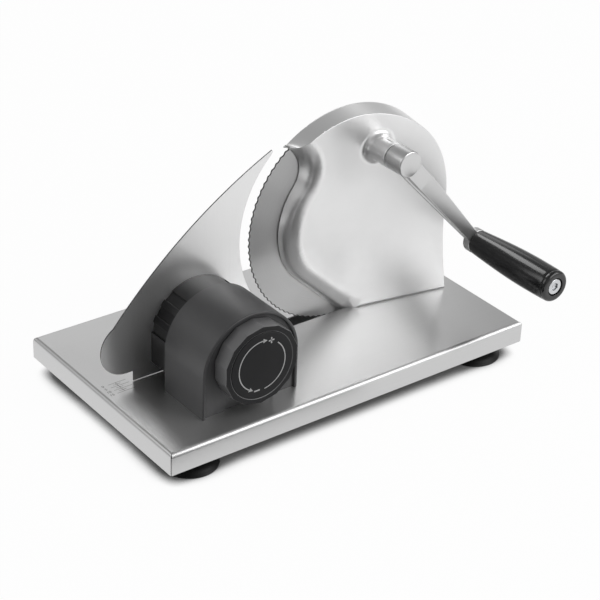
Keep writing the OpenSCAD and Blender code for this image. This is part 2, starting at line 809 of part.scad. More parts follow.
module fence_sleeve() {
    thin = sleeve_w - sleeve_wall - groove_depth;
    color("dimgray") bench() translate([housing_x, 0, 0]) difference() {
        union() {
            difference() {
                upright(sleeve_y, fence_y) arch(sleeve_w, leg_z);
                upright(sleeve_y - cut, fence_y + cut) arch(thin, leg_z - cut);
                sleeve_grooves();
            }
            upright(web_y, web_y + web_t) arch(thin + cut, leg_z);
            for (p = sleeve_posts) bar(p[0], p[1], sleeve_post_r, fence_y - sleeve_post_l, fence_y);
        }
        bar(0, knob_z, spindle_r + 0.6, web_y - cut, web_y + web_t + cut);
        hex_y(0, knob_z, nut_d + 2 * seat_gap, web_y + web_t - nut_h, web_y + web_t + cut);
        for (p = sleeve_posts)
            bar(p[0], p[1], fence_stud_r + seat_gap, fence_y - sleeve_post_l - cut, fence_y + cut);
    }
}

module fence_studs() {
    color("silver") bench() translate([housing_x, 0, 0]) for (p = sleeve_posts)
        bar(p[0], p[1], fence_stud_r, fence_y - sleeve_post_l - fence_nut_h, fence_y);
}

module fence_nuts() {
    nut_y = fence_y - sleeve_post_l;
    color("gray") bench() translate([housing_x, 0, 0]) for (p = sleeve_posts) difference() {
        hex_y(p[0], p[1], fence_nut_d, nut_y - fence_nut_h, nut_y);
        bar(p[0], p[1], fence_stud_r + seat_gap, nut_y - fence_nut_h - cut, nut_y + cut);
    }
}

function housing_screw_spots() = [for (side = [-1, 1]) for (y = lug_ys)
    [housing_x + side * (inner_w - lug_w / 2), y]];

module adjuster_housing() {
    rear = housing_y + housing_l;
    color("dimgray") bench() difference() {
        union() {
            translate([housing_x, 0, 0]) difference() {
                upright(housing_y, rear) arch(half_w, 0);
                upright(housing_y - cut, plate_y) arch(inner_w, -cut);
                upright(plate_back, rear + cut) arch(inner_w, -cut);
                upright(plate_y - cut, plate_y + panel_depth) arch(panel_w, -cut);
                bar(0, knob_z, spindle_r + run_gap, plate_y - cut, plate_back + cut);
            }
            for (s = housing_screw_spots()) translate([s[0] - lug_w / 2, s[1] - lug_l / 2, 0])
                cube([lug_w, lug_l, lug_h]);
        }
        for (s = housing_screw_spots()) translate([s[0], s[1], -cut])
            cylinder(r = housing_screw_r + seat_gap, h = housing_screw_l + cut);
    }
}

module housing_screws() {
    color("gray") bench() for (s = housing_screw_spots())
        pan_screw(s, housing_screw_r, housing_screw_l - cut);
}

module spindle() {
    stop_y = plate_back + face_gap / 2;
    thread_end = spindle_front + knob_screw_l + cut;
    color("silver") bench() difference() {
        union() {
            bar(housing_x, knob_z, spindle_r, spindle_front, spindle_end);
            bar(housing_x, knob_z, collar_r, stop_y, stop_y + collar_l);
        }
        bar(housing_x, knob_z, knob_screw_r + seat_gap, spindle_front - cut, thread_end);
    }
}

module spindle_nut() {
    rear = web_y + web_t;
    color("goldenrod") bench() difference() {
        hex_y(housing_x, knob_z, nut_d, rear - nut_h, rear);
        bar(housing_x, knob_z, spindle_r + run_gap, rear - nut_h - cut, rear + cut);
    }
}

module adjust_knob() {
    wide = knob_corner + cut;
    color("dimgray") bench() translate([housing_x, 0, knob_z]) difference() {
        intersection() {
            upright(knob_front, knob_back)
                polygon([for (i = [0:knob_n - 1]) polar(knob_corner, 360 * (i + 0.5) / knob_n)]);
            turned(0, 0, [[0, knob_front], [knob_d / 2 - knob_chamfer, knob_front],
                [wide, knob_front + knob_chamfer + wide - knob_d / 2], [wide, knob_back], [0, knob_back]]);
        }
        bar(0, 0, cap_r + face_gap, knob_front - cut, knob_front + cap_t - cap_proud);
        bar(0, 0, knob_well_r, knob_front - cut, spindle_front);
        bar(0, 0, spindle_r + seat_gap, knob_front, knob_back + cut);
    }
}

module knob_cap() {
    color("black") bench() turned(housing_x, knob_z, [[0, knob_front - cap_proud],
        [cap_r - 0.5, knob_front - cap_proud], [cap_r, knob_front - cap_proud + 0.5],
        [cap_r, knob_front + cap_t - cap_proud], [0, knob_front + cap_t - cap_proud]]);
}

module knob_screw() {
    head = 2.4;
    color("silver") bench() {
        bar(housing_x, knob_z, spindle_r + 2, spindle_front - head, spindle_front);
        bar(housing_x, knob_z, knob_screw_r, spindle_front, spindle_front + knob_screw_l);
    }
}

module knob_washer() {
    y = plate_y - knob_washer_t;
    color("gainsboro") bench()
        ring(housing_x, knob_z, spindle_r + run_gap, spindle_r + 7, y, y + knob_washer_t);
}

base_plate();
foot_front_left();
foot_front_right();
foot_rear_left();
foot_rear_right();
foot_posts();
foot_studs();
foot_nuts();
blade_guard();
guard_screws();
crank_bush();
crank_shaft();
thrust_washer();
crank_pinion();
shaft_clip();
crank_arm();
arm_set_screw();
handle_grip();
handle_bolt();
handle_washer();
blade();
blade_gear();
blade_bush();
blade_axle();
blade_rivets();
blade_lock_screw();
lock_washer();
fence_plate();
fence_sleeve();
fence_studs();
fence_nuts();
adjuster_housing();
housing_screws();
spindle();
spindle_nut();
adjust_knob();
knob_cap();
knob_screw();
knob_washer();
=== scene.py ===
import json
from math import acos, atan2, ceil, cos, degrees, hypot, pi, radians, sin, sqrt, tan

import bmesh
import bpy
import numpy as np
from mathutils import Matrix, Vector
from mathutils.geometry import delaunay_2d_cdt


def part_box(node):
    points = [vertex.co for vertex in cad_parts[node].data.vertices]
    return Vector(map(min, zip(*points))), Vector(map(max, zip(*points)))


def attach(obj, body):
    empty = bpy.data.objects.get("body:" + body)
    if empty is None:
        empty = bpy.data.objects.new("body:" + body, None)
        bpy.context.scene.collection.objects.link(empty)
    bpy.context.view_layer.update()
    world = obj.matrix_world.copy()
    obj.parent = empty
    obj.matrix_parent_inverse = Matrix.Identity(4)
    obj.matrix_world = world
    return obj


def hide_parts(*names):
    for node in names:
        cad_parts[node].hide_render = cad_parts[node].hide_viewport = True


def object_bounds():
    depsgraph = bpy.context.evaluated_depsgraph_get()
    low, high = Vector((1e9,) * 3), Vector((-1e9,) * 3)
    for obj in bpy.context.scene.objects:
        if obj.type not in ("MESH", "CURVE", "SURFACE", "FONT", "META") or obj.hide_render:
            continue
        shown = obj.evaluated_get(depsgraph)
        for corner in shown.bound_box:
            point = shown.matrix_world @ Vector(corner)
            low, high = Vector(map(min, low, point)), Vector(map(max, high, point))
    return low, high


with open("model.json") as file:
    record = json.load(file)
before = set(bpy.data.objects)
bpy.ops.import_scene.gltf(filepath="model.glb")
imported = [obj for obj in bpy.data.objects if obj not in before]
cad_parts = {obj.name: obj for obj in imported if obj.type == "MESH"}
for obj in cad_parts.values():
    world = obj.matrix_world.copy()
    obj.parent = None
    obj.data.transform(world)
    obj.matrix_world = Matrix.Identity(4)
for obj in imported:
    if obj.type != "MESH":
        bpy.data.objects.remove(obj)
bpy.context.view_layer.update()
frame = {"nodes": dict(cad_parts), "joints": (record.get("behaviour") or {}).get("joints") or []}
scene = bpy.context.scene
scene.view_settings.view_transform = "Standard"
mm = 0.001

# Bench millimetres: x from the left short edge, y from the near long edge, z from the top of the base
baseLow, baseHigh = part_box("base_plate")
benchOrigin = Vector((baseLow.x, baseLow.y, baseHigh.z))


def toWorld(x, y, z):
    return benchOrigin + Vector((x, y, z)) * mm


def boxMm(node):  # lowest and highest corner of a node on the bench
    return [(corner - benchOrigin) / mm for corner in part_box(node)]


def axisMm(joint):  # where a joint's axis meets the xz plane
    place = next(j for j in frame["joints"] if j["name"] == joint)["pos_m"]
    spot = (Vector(place) - benchOrigin) / mm
    return spot.x, spot.z


baseL, baseW = [(baseHigh - baseLow)[i] / mm for i in (0, 1)]
skirtLow = boxMm("base_plate")[0].z
bladeAxis = bladeX, bladeZ = axisMm("blade_turn")
crankAxis = crankX, crankZ = axisMm("crank_turn")
gripAxis = gripX, gripZ = axisMm("grip_turn")
knobAxis = knobX, knobZ = axisMm("knob_turn")
bladeR, cutY = 100.0, 117.7  # the blade's radius, and the plane it cuts in
print("frame loaded:", len(frame["nodes"]), "nodes")


def placed(name, data):  # a new object in the scene
    item = bpy.data.objects.new(name, data)
    scene.collection.objects.link(item)
    return item


# Camera, found from the base's corners and the straight edges of the photographed object
cameraSet = dict(place=(-650.478, -987.828, 815.519), turn=38.067, dip=29.578, roll=2.314,
                 focalPixels=1804.143, imagePixels=600, sensor=36.0, clip=(0.05, 50.0))
lens = bpy.data.cameras.new("camera")
lens.sensor_width = cameraSet["sensor"]
lens.lens = cameraSet["focalPixels"] / cameraSet["imagePixels"] * cameraSet["sensor"]
lens.clip_start, lens.clip_end = cameraSet["clip"]
camera = placed("camera", lens)
camera.matrix_world = (Matrix.Translation(toWorld(*cameraSet["place"]))
                       @ Matrix.Rotation(radians(-cameraSet["turn"]), 4, "Z")
                       @ Matrix.Rotation(radians(90 - cameraSet["dip"]), 4, "X")
                       @ Matrix.Rotation(radians(cameraSet["roll"]), 4, "Z"))
scene.camera = camera


def linear(code):  # sRGB hex to linear RGBA
    parts = [int(code[i:i + 2], 16) / 255 for i in (1, 3, 5)]
    return [p / 12.92 if p <= 0.04045 else ((p + 0.055) / 1.055) ** 2.4 for p in parts] + [1.0]


def addNode(tree, kind, settings=None, links=None):  # settings go to its inputs, or else to the node
    node = tree.nodes.new("ShaderNode" + kind)
    for key, value in (settings or {}).items():
        if isinstance(key, int) or key in node.inputs:
            node.inputs[key].default_value = value
        else:
            setattr(node, key, value)
    for key, source in (links or {}).items():
        tree.links.new(source, node.inputs[key])
    return node


def newLook(name):
    look = bpy.data.materials.new(name)
    look.use_nodes = True
    look.node_tree.nodes.clear()
    place = addNode(look.node_tree, "TexCoord").outputs["Object"]
    return look, look.node_tree, place


def perMm(size):  # noise scale for a feature of this many millimetres
    return 1 / (size * mm)


def surface(look, tree, tones, rough, bump, patterns, shader, links=None, spread=(0, 1)):
    # patterns for the tone, the roughness and the fine relief, and the shader that takes them
    toneBy, roughBy, bumpBy = [pattern.outputs[0] for pattern in patterns]
    light, dark = [linear(code) for code in tones]
    tone = addNode(tree, "Mix", {"data_type": "RGBA", 6: dark, 7: light}, {0: toneBy})
    blur = addNode(tree, "MapRange", {"From Min": spread[0], "From Max": spread[1],
                                      "To Min": rough[0], "To Max": rough[1]}, {"Value": roughBy})
    relief = addNode(tree, "Bump", {"Strength": bump[0], "Distance": bump[1] * mm}, {"Height": bumpBy})
    body = addNode(tree, "BsdfPrincipled", shader,
                   {"Base Color": tone.outputs[2], "Roughness": blur.outputs[0],
                    "Normal": relief.outputs[0], **(links or {})})
    addNode(tree, "OutputMaterial", {}, {"Surface": body.outputs[0]})
    return look


# Stainless sheet, brushed: fine straight strokes, and a soft grey mirror that the base smears across them
sheetSet = dict(strokeMm=70, lineMm=0.5, blotchMm=45, blotchShare=0.35, spread=(0.3, 1.0), bump=(0.05, 0.02))
baseSteelSet = dict(tones=("#d0d0d0", "#c6c6c6"), along=0, across=(0, 1, 1), rough=(0.26, 0.34),
                    metallic=0.87, smear=0.75)
fenceSteelSet = dict(tones=("#f0f0f0", "#e6e6e6"), along=2, across=(1, 0, 0), rough=(0.28, 0.36),
                     metallic=0.88, smear=0)


def brushedSheet(name, settings):
    s = sheetSet
    look, tree, place = newLook(name)
    scale = [perMm(s["lineMm"])] * 3
    scale[settings["along"]] = perMm(s["strokeMm"])
    drawn = addNode(tree, "Mapping", {"Scale": scale}, {"Vector": place})
    strokes = addNode(tree, "TexNoise", {"Scale": 1.0, "Detail": 4.0, "Roughness": 0.65},
                      {"Vector": drawn.outputs[0]})
    blotch = addNode(tree, "TexNoise", {"Scale": perMm(s["blotchMm"]), "Detail": 2.0}, {"Vector": place})
    mixed = addNode(tree, "Math", {"operation": "MULTIPLY_ADD", 1: s["blotchShare"]},
                    {0: blotch.outputs[0], 2: strokes.outputs[0]})
    across = addNode(tree, "CombineXYZ", dict(enumerate(settings["across"])))
    return surface(look, tree, settings["tones"], settings["rough"], s["bump"], (strokes, mixed, strokes),
                   {"Metallic": settings["metallic"], "Anisotropic": settings["smear"]},
                   {"Tangent": across.outputs[0]}, s["spread"])


baseSteel = brushedSheet("stainlessSheetBrushed", baseSteelSet)
fenceSteel = brushedSheet("stainlessPlateSatin", fenceSteelSet)

# Die-cast aluminium. The guard's is blasted and lacquered: pale and silky, its reflections melted together.
# The crank's is tumbled bright: darker, with clear streaks along its round parts.
castSet = dict(cloudMm=30, grainMm=0.9, bump=(0.012, 0.03))
guardMetalSet = dict(tones=("#f2f2f2", "#eaeaea"), rough=(0.3, 0.36), metallic=0.82)
crankMetalSet = dict(tones=("#d6d6d6", "#cccccc"), rough=(0.26, 0.33), metallic=0.86)


def castAluminium(name, settings):
    look, tree, place = newLook(name)
    cloud = addNode(tree, "TexNoise", {"Scale": perMm(castSet["cloudMm"]), "Detail": 3.0}, {"Vector": place})
    # the blasting grit is finer, drawn coarse to show
    grain = addNode(tree, "TexNoise", {"Scale": perMm(castSet["grainMm"]), "Detail": 2.0}, {"Vector": place})
    return surface(look, tree, settings["tones"], settings["rough"], castSet["bump"], (cloud, grain, grain),
                   {"Metallic": settings["metallic"]})


guardMetal = castAluminium("aluminiumCastingLacquered", guardMetalSet)
crankMetal = castAluminium("aluminiumCastingTumbled", crankMetalSet)

# Blade steel, ground in rings about its axis: a soft sunburst, with hairlines that follow the edge
bladeSteelSet = dict(tones=("#e0e0e0", "#d0d0d0"), ringMm=0.9, rough=(0.4, 0.48), bump=(0.05, 0.02),
                     smear=1.0, acrossRings=0.25)


def groundSteel(name, x, z, settings):
    look, tree, place = newLook(name)
    centre = toWorld(x, 0, z)
    offset = addNode(tree, "VectorMath", {"operation": "SUBTRACT", 1: (centre.x, 0, centre.z)}, {0: place})
    flat = addNode(tree, "VectorMath", {"operation": "MULTIPLY", 1: (1, 0, 1)}, {0: offset.outputs[0]})
    reach = addNode(tree, "VectorMath", {"operation": "LENGTH"}, {0: flat.outputs[0]})
    rings = addNode(tree, "TexNoise", {"noise_dimensions": "1D", "Scale": perMm(settings["ringMm"]),
                                       "Detail": 4.0, "Roughness": 0.7}, {"W": reach.outputs["Value"]})
    turned = addNode(tree, "Tangent", {"direction_type": "RADIAL", "axis": "Y"})
    return surface(look, tree, settings["tones"], settings["rough"], settings["bump"], (rings, rings, rings),
                   {"Metallic": 1.0, "Anisotropic": settings["smear"],
                    "Anisotropic Rotation": settings["acrossRings"]}, {"Tangent": turned.outputs[0]})


bladeSteel = groundSteel("bladeSteelGround", bladeX, bladeZ, bladeSteelSet)


# Plain metals of the fasteners and bushes, with the faint mottling that plating and turning leave
def workedMetal(name, tones, rough, spotMm, bump=(0.05, 0.02)):
    look, tree, place = newLook(name)
    spots = addNode(tree, "TexNoise", {"Scale": perMm(spotMm), "Detail": 3.0}, {"Vector": place})
    return surface(look, tree, tones, rough, bump, (spots, spots, spots), {"Metallic": 1.0})


zincSteel = workedMetal("steelZincPlated", ("#d8d9da", "#c4c6c9"), (0.18, 0.3), 2.0)  # bright and cool
turnedBrass = workedMetal("brassTurned", ("#d9b36a", "#c79d52"), (0.22, 0.34), 1.2)  # warm yellow
edgeShadeSteel = workedMetal("steelEdgePaintedShade", ("#5a5a5a", "#484848"), (0.45, 0.55), 1.5)  # dark grey: painted shade and dark reflection for the thin edges of the blade and the fence

# Moulded plastics and rubber: a dark body under a thin clear shine that the mould's grain breaks up
mouldSet = dict(cloudMm=18, pitMm=0.05)


def moulded(name, tones, rough, grainMm, bump, ior, shine=0.5):
    look, tree, place = newLook(name)
    grain, cloud = [addNode(tree, "TexNoise", {"Scale": perMm(size), "Detail": 2.0}, {"Vector": place})
                    for size in (grainMm, mouldSet["cloudMm"])]
    return surface(look, tree, tones, rough, (bump, mouldSet["pitMm"]), (cloud, grain, grain),
                   {"IOR": ior, "Specular IOR Level": shine})


# dull charcoal
housingAbs = moulded("absSparkGrained", ("#4a4a4b", "#434344"), (0.36, 0.46), 0.7, 0.25, 1.54)
# a lighter grey, and silkier; the light tone is painted light on the knob's flats, kept apart from its darker
# front
knobNylonPaintedLight = moulded("nylonMouldedPaintedLight", ("#727273", "#6c6c6d"), (0.3, 0.38), 0.6, 0.1, 1.53)
# near black, even
capAbs = moulded("absSatin", ("#2a2a2b", "#262627"), (0.4, 0.46), 0.5, 0.08, 1.54, 0.2)
# deep gloss
gripPhenolic = moulded("phenolicPolished", ("#171718", "#131314"), (0.16, 0.2), 3.0, 0.004, 1.6)
# black, half gloss
sleeveAbs = moulded("absBlackMoulded", ("#1f1f20", "#1b1b1c"), (0.3, 0.38), 0.7, 0.1, 1.54)
# dull black
footRubber = moulded("rubberMoulded", ("#101010", "#0c0c0c"), (0.4, 0.5), 0.8, 0.15, 1.52, 0.3)
# waxy ivory
gearAcetal = moulded("acetalMoulded", ("#e9e6dc", "#dedacd"), (0.32, 0.42), 1.0, 0.05, 1.48)
# flat pale print
greyInk = moulded("padInkGrey", ("#b9b9b9", "#adadad"), (0.5, 0.6), 0.4, 0.1, 1.5)
# dull etched grey
darkInk = moulded("etchedMarkDark", ("#5c5c5c", "#4e4e4e"), (0.5, 0.6), 0.4, 0.1, 1.5)
print("materials made:", len(bpy.data.materials))


def polar(r, deg, centre=(0, 0)):
    return centre[0] + r * cos(radians(deg)), centre[1] + r * sin(radians(deg))


def about(axis, r, deg, y):  # a point turned about an axis along y
    x, z = polar(r, deg, axis)
    return x, y, z


def arc(centre, r, fromDeg, toDeg, step=1.5):
    count = max(2, ceil(abs(radians(toDeg - fromDeg)) * r / step))
    return [polar(r, fromDeg + (toDeg - fromDeg) * i / count, centre) for i in range(count + 1)]


def circlesMeet(c0, r0, c1, r1):  # the two points where circles cross
    gap = hypot(c1[0] - c0[0], c1[1] - c0[1])
    reach = (r0 * r0 - r1 * r1 + gap * gap) / (2 * gap)
    off = sqrt(r0 * r0 - reach * reach)
    ux, uz = (c1[0] - c0[0]) / gap, (c1[1] - c0[1]) / gap
    mid = c0[0] + reach * ux, c0[1] + reach * uz
    return [(mid[0] - s * off * uz, mid[1] + s * off * ux) for s in (1, -1)]


def bearing(p, centre):
    return degrees(atan2(p[1] - centre[1], p[0] - centre[0]))


def along(stations, s):  # straight steps between (place, value) stations
    return float(np.interp(s, [p for p, v in stations], [v for p, v in stations]))


def stepped(r, y, pairs, way=1):  # points a step in from r and a step along from y
    return [(r - inset, y + way * deep) for inset, deep in pairs]


def corners(x0, y0, x1, y1, z):  # a rectangle at one height
    return [(x0, y0, z), (x1, y0, z), (x1, y1, z), (x0, y1, z)]


def loft(rings, around=True, caps=()):  # faces from ring to ring, and over the rings named in caps
    count = len(rings[0])
    points = [p for ring in rings for p in ring]
    faces = []
    for j in range(len(rings) - 1):
        for i in range(count if around else count - 1):
            k = (i + 1) % count
            faces.append((j * count + i, j * count + k, (j + 1) * count + k, (j + 1) * count + i))
    faces += [tuple(range(j * count, (j + 1) * count)) for j in caps]
    return points, faces


def lathe(profile, axis, closed=False, steps=96):  # (radius, y) pairs turned about an axis along y
    return loft([[about(axis, r, 360 * i / steps, y) for r, y in profile] for i in range(steps + 1)], closed)


def prism(outline, y0, y1):  # a flat outline in x and z, from y0 to y1
    return loft([[(x, y, z) for x, z in outline] for y in (y0, y1)], True, (0, 1))


def joined(*shapes):
    points, faces = [], []
    for p, f in shapes:
        faces += [tuple(i + len(points) for i in face) for face in f]
        points += p
    return points, faces


# Meshes, in millimetres: points that merge, slivers that go, and the round on edges past this angle
meshSet = dict(weld=0.002, sliver=0.001, roundSteps=3, roundFrom=40)


def addPiece(name, shape, look, body, stands=(), inside=None, wall=0, soften=0, sharp=50, second=None):
    mesh = bpy.data.meshes.new(name)
    mesh.from_pydata([toWorld(*p) for p in shape[0]], [], shape[1])
    bm = bmesh.new()
    bm.from_mesh(mesh)
    bmesh.ops.remove_doubles(bm, verts=bm.verts, dist=meshSet["weld"] * mm)
    bmesh.ops.dissolve_degenerate(bm, edges=bm.edges, dist=meshSet["sliver"] * mm)
    bmesh.ops.recalc_face_normals(bm, faces=bm.faces)
    if inside is not None:  # an open shell faces away from this point
        heart = toWorld(*inside)
        if sum(f.calc_area() * f.normal.dot(f.calc_center_median() - heart) for f in bm.faces) < 0:
            bmesh.ops.reverse_faces(bm, faces=bm.faces)
    bm.to_mesh(mesh)
    bm.free()
    mesh.shade_smooth()
    mesh.set_sharp_from_angle(angle=radians(sharp))
    mesh.materials.append(look)
    if second:  # another finish on the faces that its test picks
        mesh.materials.append(second[0])
        for face in mesh.polygons:
            face.material_index = int(second[1]((face.center - benchOrigin) / mm, face.normal))
    piece = placed(name, mesh)
    if wall:
        shell = piece.modifiers.new("wall", "SOLIDIFY")
        shell.thickness, shell.offset, shell.use_even_offset = wall * mm, -1, False
    finishEdges(piece, soften)
    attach(piece, body)
    if stands:
        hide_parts(*stands)
    return piece


def finishEdges(piece, soften):
    if soften:
        edge = piece.modifiers.new("edge", "BEVEL")
        edge.width, edge.segments, edge.limit_method = soften * mm, meshSet["roundSteps"], "ANGLE"
        edge.angle_limit, edge.use_clamp_overlap = radians(meshSet["roundFrom"]), True
    piece.modifiers.new("normals", "WEIGHTED_NORMAL").keep_sharp = True


def dressNode(name, look, soften=0):  # a node of the frame that shows as it is
    node = frame["nodes"][name]
    if not node.material_slots:
        node.data.materials.append(look)
    for place in node.material_slots:
        place.material = look
    if soften:
        weld = node.modifiers.new("weld", "WELD")
        weld.merge_threshold = meshSet["weld"] * mm
        finishEdges(node, soften)


# Base: one sheet with four folded skirts, open seams at the corners and a slot for the blade
baseSet = dict(sheet=1.5, bend=4.0, bendSteps=6, seam=0.8, slotMargin=20.0, slotAhead=8.2, slotBehind=5.8)


def baseShell():
    s = baseSet
    bend, steps = s["bend"], s["bendSteps"]
    turns = [radians(90 * i / steps) for i in range(steps + 1)]
    fold = [(bend * sin(a), bend * cos(a) - bend) for a in turns] + [(bend, skirtLow)]
    sides = []
    for length, width, turn in ((baseL, baseW, False), (baseW, baseL, True)):
        for far in (False, True):
            rings = []
            for out, z in fold:
                start = bend - out + s["seam"] * out / bend
                across = width - bend + out if far else bend - out
                ends = [(start, across), (length - start, across)]
                rings.append([(b, a, z) if turn else (a, b, z) for a, b in ends])
            sides.append(loft(rings, False))
    half = sqrt(bladeR ** 2 - bladeZ ** 2) + s["slotMargin"]
    outer = corners(bend, bend, baseL - bend, baseW - bend, 0)
    slot = corners(bladeX - half, cutY - s["slotAhead"], bladeX + half, cutY + s["slotBehind"], 0)
    return joined(loft([outer, slot]), *sides)


addPiece("base_sheet", baseShell(), baseSteel, "frame", ["base_plate"],
         inside=(baseL / 2, baseW / 2, 2 * skirtLow), wall=baseSet["sheet"])

# Thickness scale: the fence's lower left corner points at the slice it cuts
scaleSet = dict(zeroY=116.5, mostMm=15, labelMm=5, tickMm=2.5, labelX=8.5, spineX=20.5, longX=(13.5, 31.0),
                shortX=(17.0, 24.0), line=0.35, textMm=4.2, low=0.005, lift=0.03)


def scaleMarks():
    s = scaleSet
    half, zero = s["line"] / 2, s["zeroY"]

    def bar(x0, y0, x1, y1):
        return loft([corners(x0, y0, x1, y1, z) for z in (s["low"], s["lift"])], True, (0, 1))

    marks = [bar(s["spineX"] - half, zero - s["mostMm"], s["spineX"] + half, zero)]
    for i in range(int(s["mostMm"] / s["tickMm"]) + 1):
        down = i * s["tickMm"]
        x0, x1 = s["longX"] if down % s["labelMm"] == 0 else s["shortX"]
        marks.append(bar(x0, zero - down - half, x1, zero - down + half))
    return joined(*marks)


addPiece("scale_marks", scaleMarks(), darkInk, "frame")
for label in range(0, scaleSet["mostMm"] + 1, scaleSet["labelMm"]):
    text = bpy.data.curves.new(f"scale_number_{label}", "FONT")
    text.body, text.size = str(label), scaleSet["textMm"] * mm
    text.align_x, text.align_y = "CENTER", "CENTER"
    text.extrude = scaleSet["lift"] / 2 * mm
    text.materials.append(darkInk)
    number = placed(text.name, text)
    number.location = toWorld(scaleSet["labelX"], scaleSet["zeroY"] - label, scaleSet["lift"] / 2)
    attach(number, "frame")
print("base made")

# Suction feet: a neck, a flared dome and a thin lip that meets the table.
# Pairs are a step in from the lip's rim and a height above the table.
footSet = dict(neckR=10.0, neckEdge=0.8, neckLow=11.0, boreR=3.03, boreL=8.0, lipR=25.0, cup=5.0, steps=72,
               dome=((14.1, 9.4), (12.2, 8.3), (8.5, 7.0), (5.0, 5.2), (2.6, 3.7), (2.3, 3.0)),
               lip=((0.9, 2.2), (0.1, 1.4), (0, 0.9), (0.4, 0.2), (1.2, 0)),
               hollow=((3.5, 0.3), (9.0, 3.0), (13.75, 4.3)))
for foot in ("foot_front_left", "foot_front_right", "foot_rear_left", "foot_rear_right"):
    f = footSet
    low, high = boxMm(foot)
    middle = (low.x + high.x) / 2, (low.y + high.y) / 2
    neck, bore = f["neckR"], f["boreR"]
    profile = [(0, high.z - f["boreL"]), (bore, high.z - f["boreL"]), (bore, high.z),
               (neck - f["neckEdge"], high.z), (neck, high.z - f["neckEdge"]), (neck, low.z + f["neckLow"])]
    profile += stepped(f["lipR"], low.z, f["dome"] + f["lip"] + f["hollow"]) + [(0, low.z + f["cup"])]
    degs = [360 * i / f["steps"] for i in range(f["steps"] + 1)]
    rings = [[(*polar(r, deg, middle), z) for r, z in profile] for deg in degs]
    addPiece(foot.replace("foot_", "suction_foot_"), loft(rings, False), footRubber, "frame",
             [foot])
print("feet made")

# Guard: a thin casting with a long S-shaped edge, a slanted face, a drawn-in rim and the crank's boss
guardSet = dict(wall=2.5, noseW=(17.5, 14.0), noseZ=(-15, 35), lipBack=115.2, faceDepth=11.7, slant=10.5,
                lean=3.0, soft=16.0, lipR=69.7, scoopR=26.0, scoopDeg=142.3, toeDeg=228.0, topDraft=2.6,
                sideDraft=10.5, draftPower=5, rimRound=0.6, rimIn=3.5, bossR=12.0, bossFillet=6.0,
                bossHole=8.1, bossEdge=0.8, bossSoft=(0.25, 0.2), inward=(20, 40))
# Nose, below and above: share of its width from the lip, and share of its depth still to come
noseShape = (((0, 1), (0.18, 0.56), (0.3, 0.42), (0.5, 0.25), (0.7, 0.09), (0.8, 0.03), (0.9, 0.006), (1, 0)),
             ((0, 1), (0.28, 0.44), (0.34, 0.35), (0.4, 0.28), (0.6, 0.165), (0.8, 0.075), (0.9, 0.035),
              (0.96, 0.012), (1, 0)))
# Its mesh: steps along the lines, rows beside them, and what rows and grid keep clear of each other
skinSet = dict(turns=120, drops=44, soleSteps=40, lineMm=2, noseRows=10, rimRows=(0.08, 0.3, 0.6, 1.0),
               filletSteps=8, ringMm=1.6, gridMm=3.0, rowSlack=0.02, rimGap=1.6, lipGap=0.6, soleGap=0.5,
               edgeGap=2, rowGap=1.5, mergeMm=1e-4, rimSteps=(0, 0.04, 0.33, 0.66, 0.96, 1))
guardLow, guardHigh = boxMm("blade_guard")
rimR = min(guardHigh.x - bladeX, guardHigh.z - bladeZ)
guardBack = guardHigh.y - guardSet["rimIn"]
crankAt = (crankX - bladeX, crankZ - bladeZ)
bossY = guardLow.y


def faceY(p):  # depth of the front face, p from the blade axis
    g = guardSet
    slant, lean = tan(radians(g["slant"])), tan(radians(g["lean"]))
    rightward = (p[:, 0] + np.sqrt(p[:, 0] ** 2 + g["soft"] ** 2) - g["soft"]) / 2
    return cutY - g["faceDepth"] - slant * rightward - lean * (p[:, 1] + bladeZ)


def distance(p, line):  # from each point of p to a line of straight steps
    a, b = line[:-1], line[1:]
    best = np.full(len(p), 1e9)
    for start, step in zip(a, b - a):
        t = np.clip(((p - start) @ step) / (step @ step), 0, 1)
        best = np.minimum(best, np.hypot(*(p - start - t[:, None] * step).T))
    return best


def within(p, loop):  # which points of p lie inside a closed loop
    hit = np.zeros(len(p), bool)
    for (ax, az), (bx, bz) in zip(loop, np.roll(loop, -1, 0)):
        spans = (az > p[:, 1]) != (bz > p[:, 1])
        if az != bz:
            hit ^= spans & (p[:, 0] < ax + (p[:, 1] - az) * (bx - ax) / (bz - az))
    return hit


def rimDraft(deg):  # grows from the top towards the side
    top, side = guardSet["topDraft"], guardSet["sideDraft"]
    return top + (side - top) * max(0, cos(radians(deg))) ** guardSet["draftPower"]


def shifted(line, d):  # the line moved d to its left
    step = np.gradient(line, axis=0)
    step /= np.hypot(*step.T)[:, None]
    return line + d * np.stack([-step[:, 1], step[:, 0]], 1)


def guardLines():
    g = guardSet
    scoop = polar(g["lipR"] + g["scoopR"], g["scoopDeg"])
    tips = [min(circlesMeet((0, 0), r, scoop, g["scoopR"]), key=lambda p: bearing(p, (0, 0)))
            for r in (rimR - g["topDraft"], rimR)]
    toe = ((g["lipR"] + bladeZ * sin(radians(g["toeDeg"]))) / cos(radians(g["toeDeg"])), -bladeZ)
    lipEdge = arc(scoop, g["scoopR"], bearing(tips[0], scoop), g["scoopDeg"] - 180)
    lipEdge += arc((0, 0), g["lipR"], g["scoopDeg"], g["toeDeg"])[1:]
    start = lipEdge[-1]
    steps = ceil(hypot(toe[0] - start[0], toe[1] - start[1]) / skinSet["lineMm"])
    lipEdge += [(start[0] + (toe[0] - start[0]) * i / steps, start[1] + (toe[1] - start[1]) * i / steps)
                for i in range(1, steps + 1)]
    turns, drops = skinSet["turns"], skinSet["drops"]
    front, back = [], []
    for i in range(turns):
        a, b = [bearing(tip, (0, 0)) * (1 - i / turns) for tip in tips]
        front.append(polar(rimR - rimDraft(a), a))
        back.append(polar(rimR, b))
    for i in range(drops + 1):
        t = 1 - i / drops
        front.append((rimR - g["sideDraft"] * sin(radians(90 * t)), -bladeZ * (1 - t)))
        back.append((rimR, -bladeZ * (1 - t)))
    front[0] = lipEdge[0]
    return np.array(lipEdge), np.array(front), np.array(back)


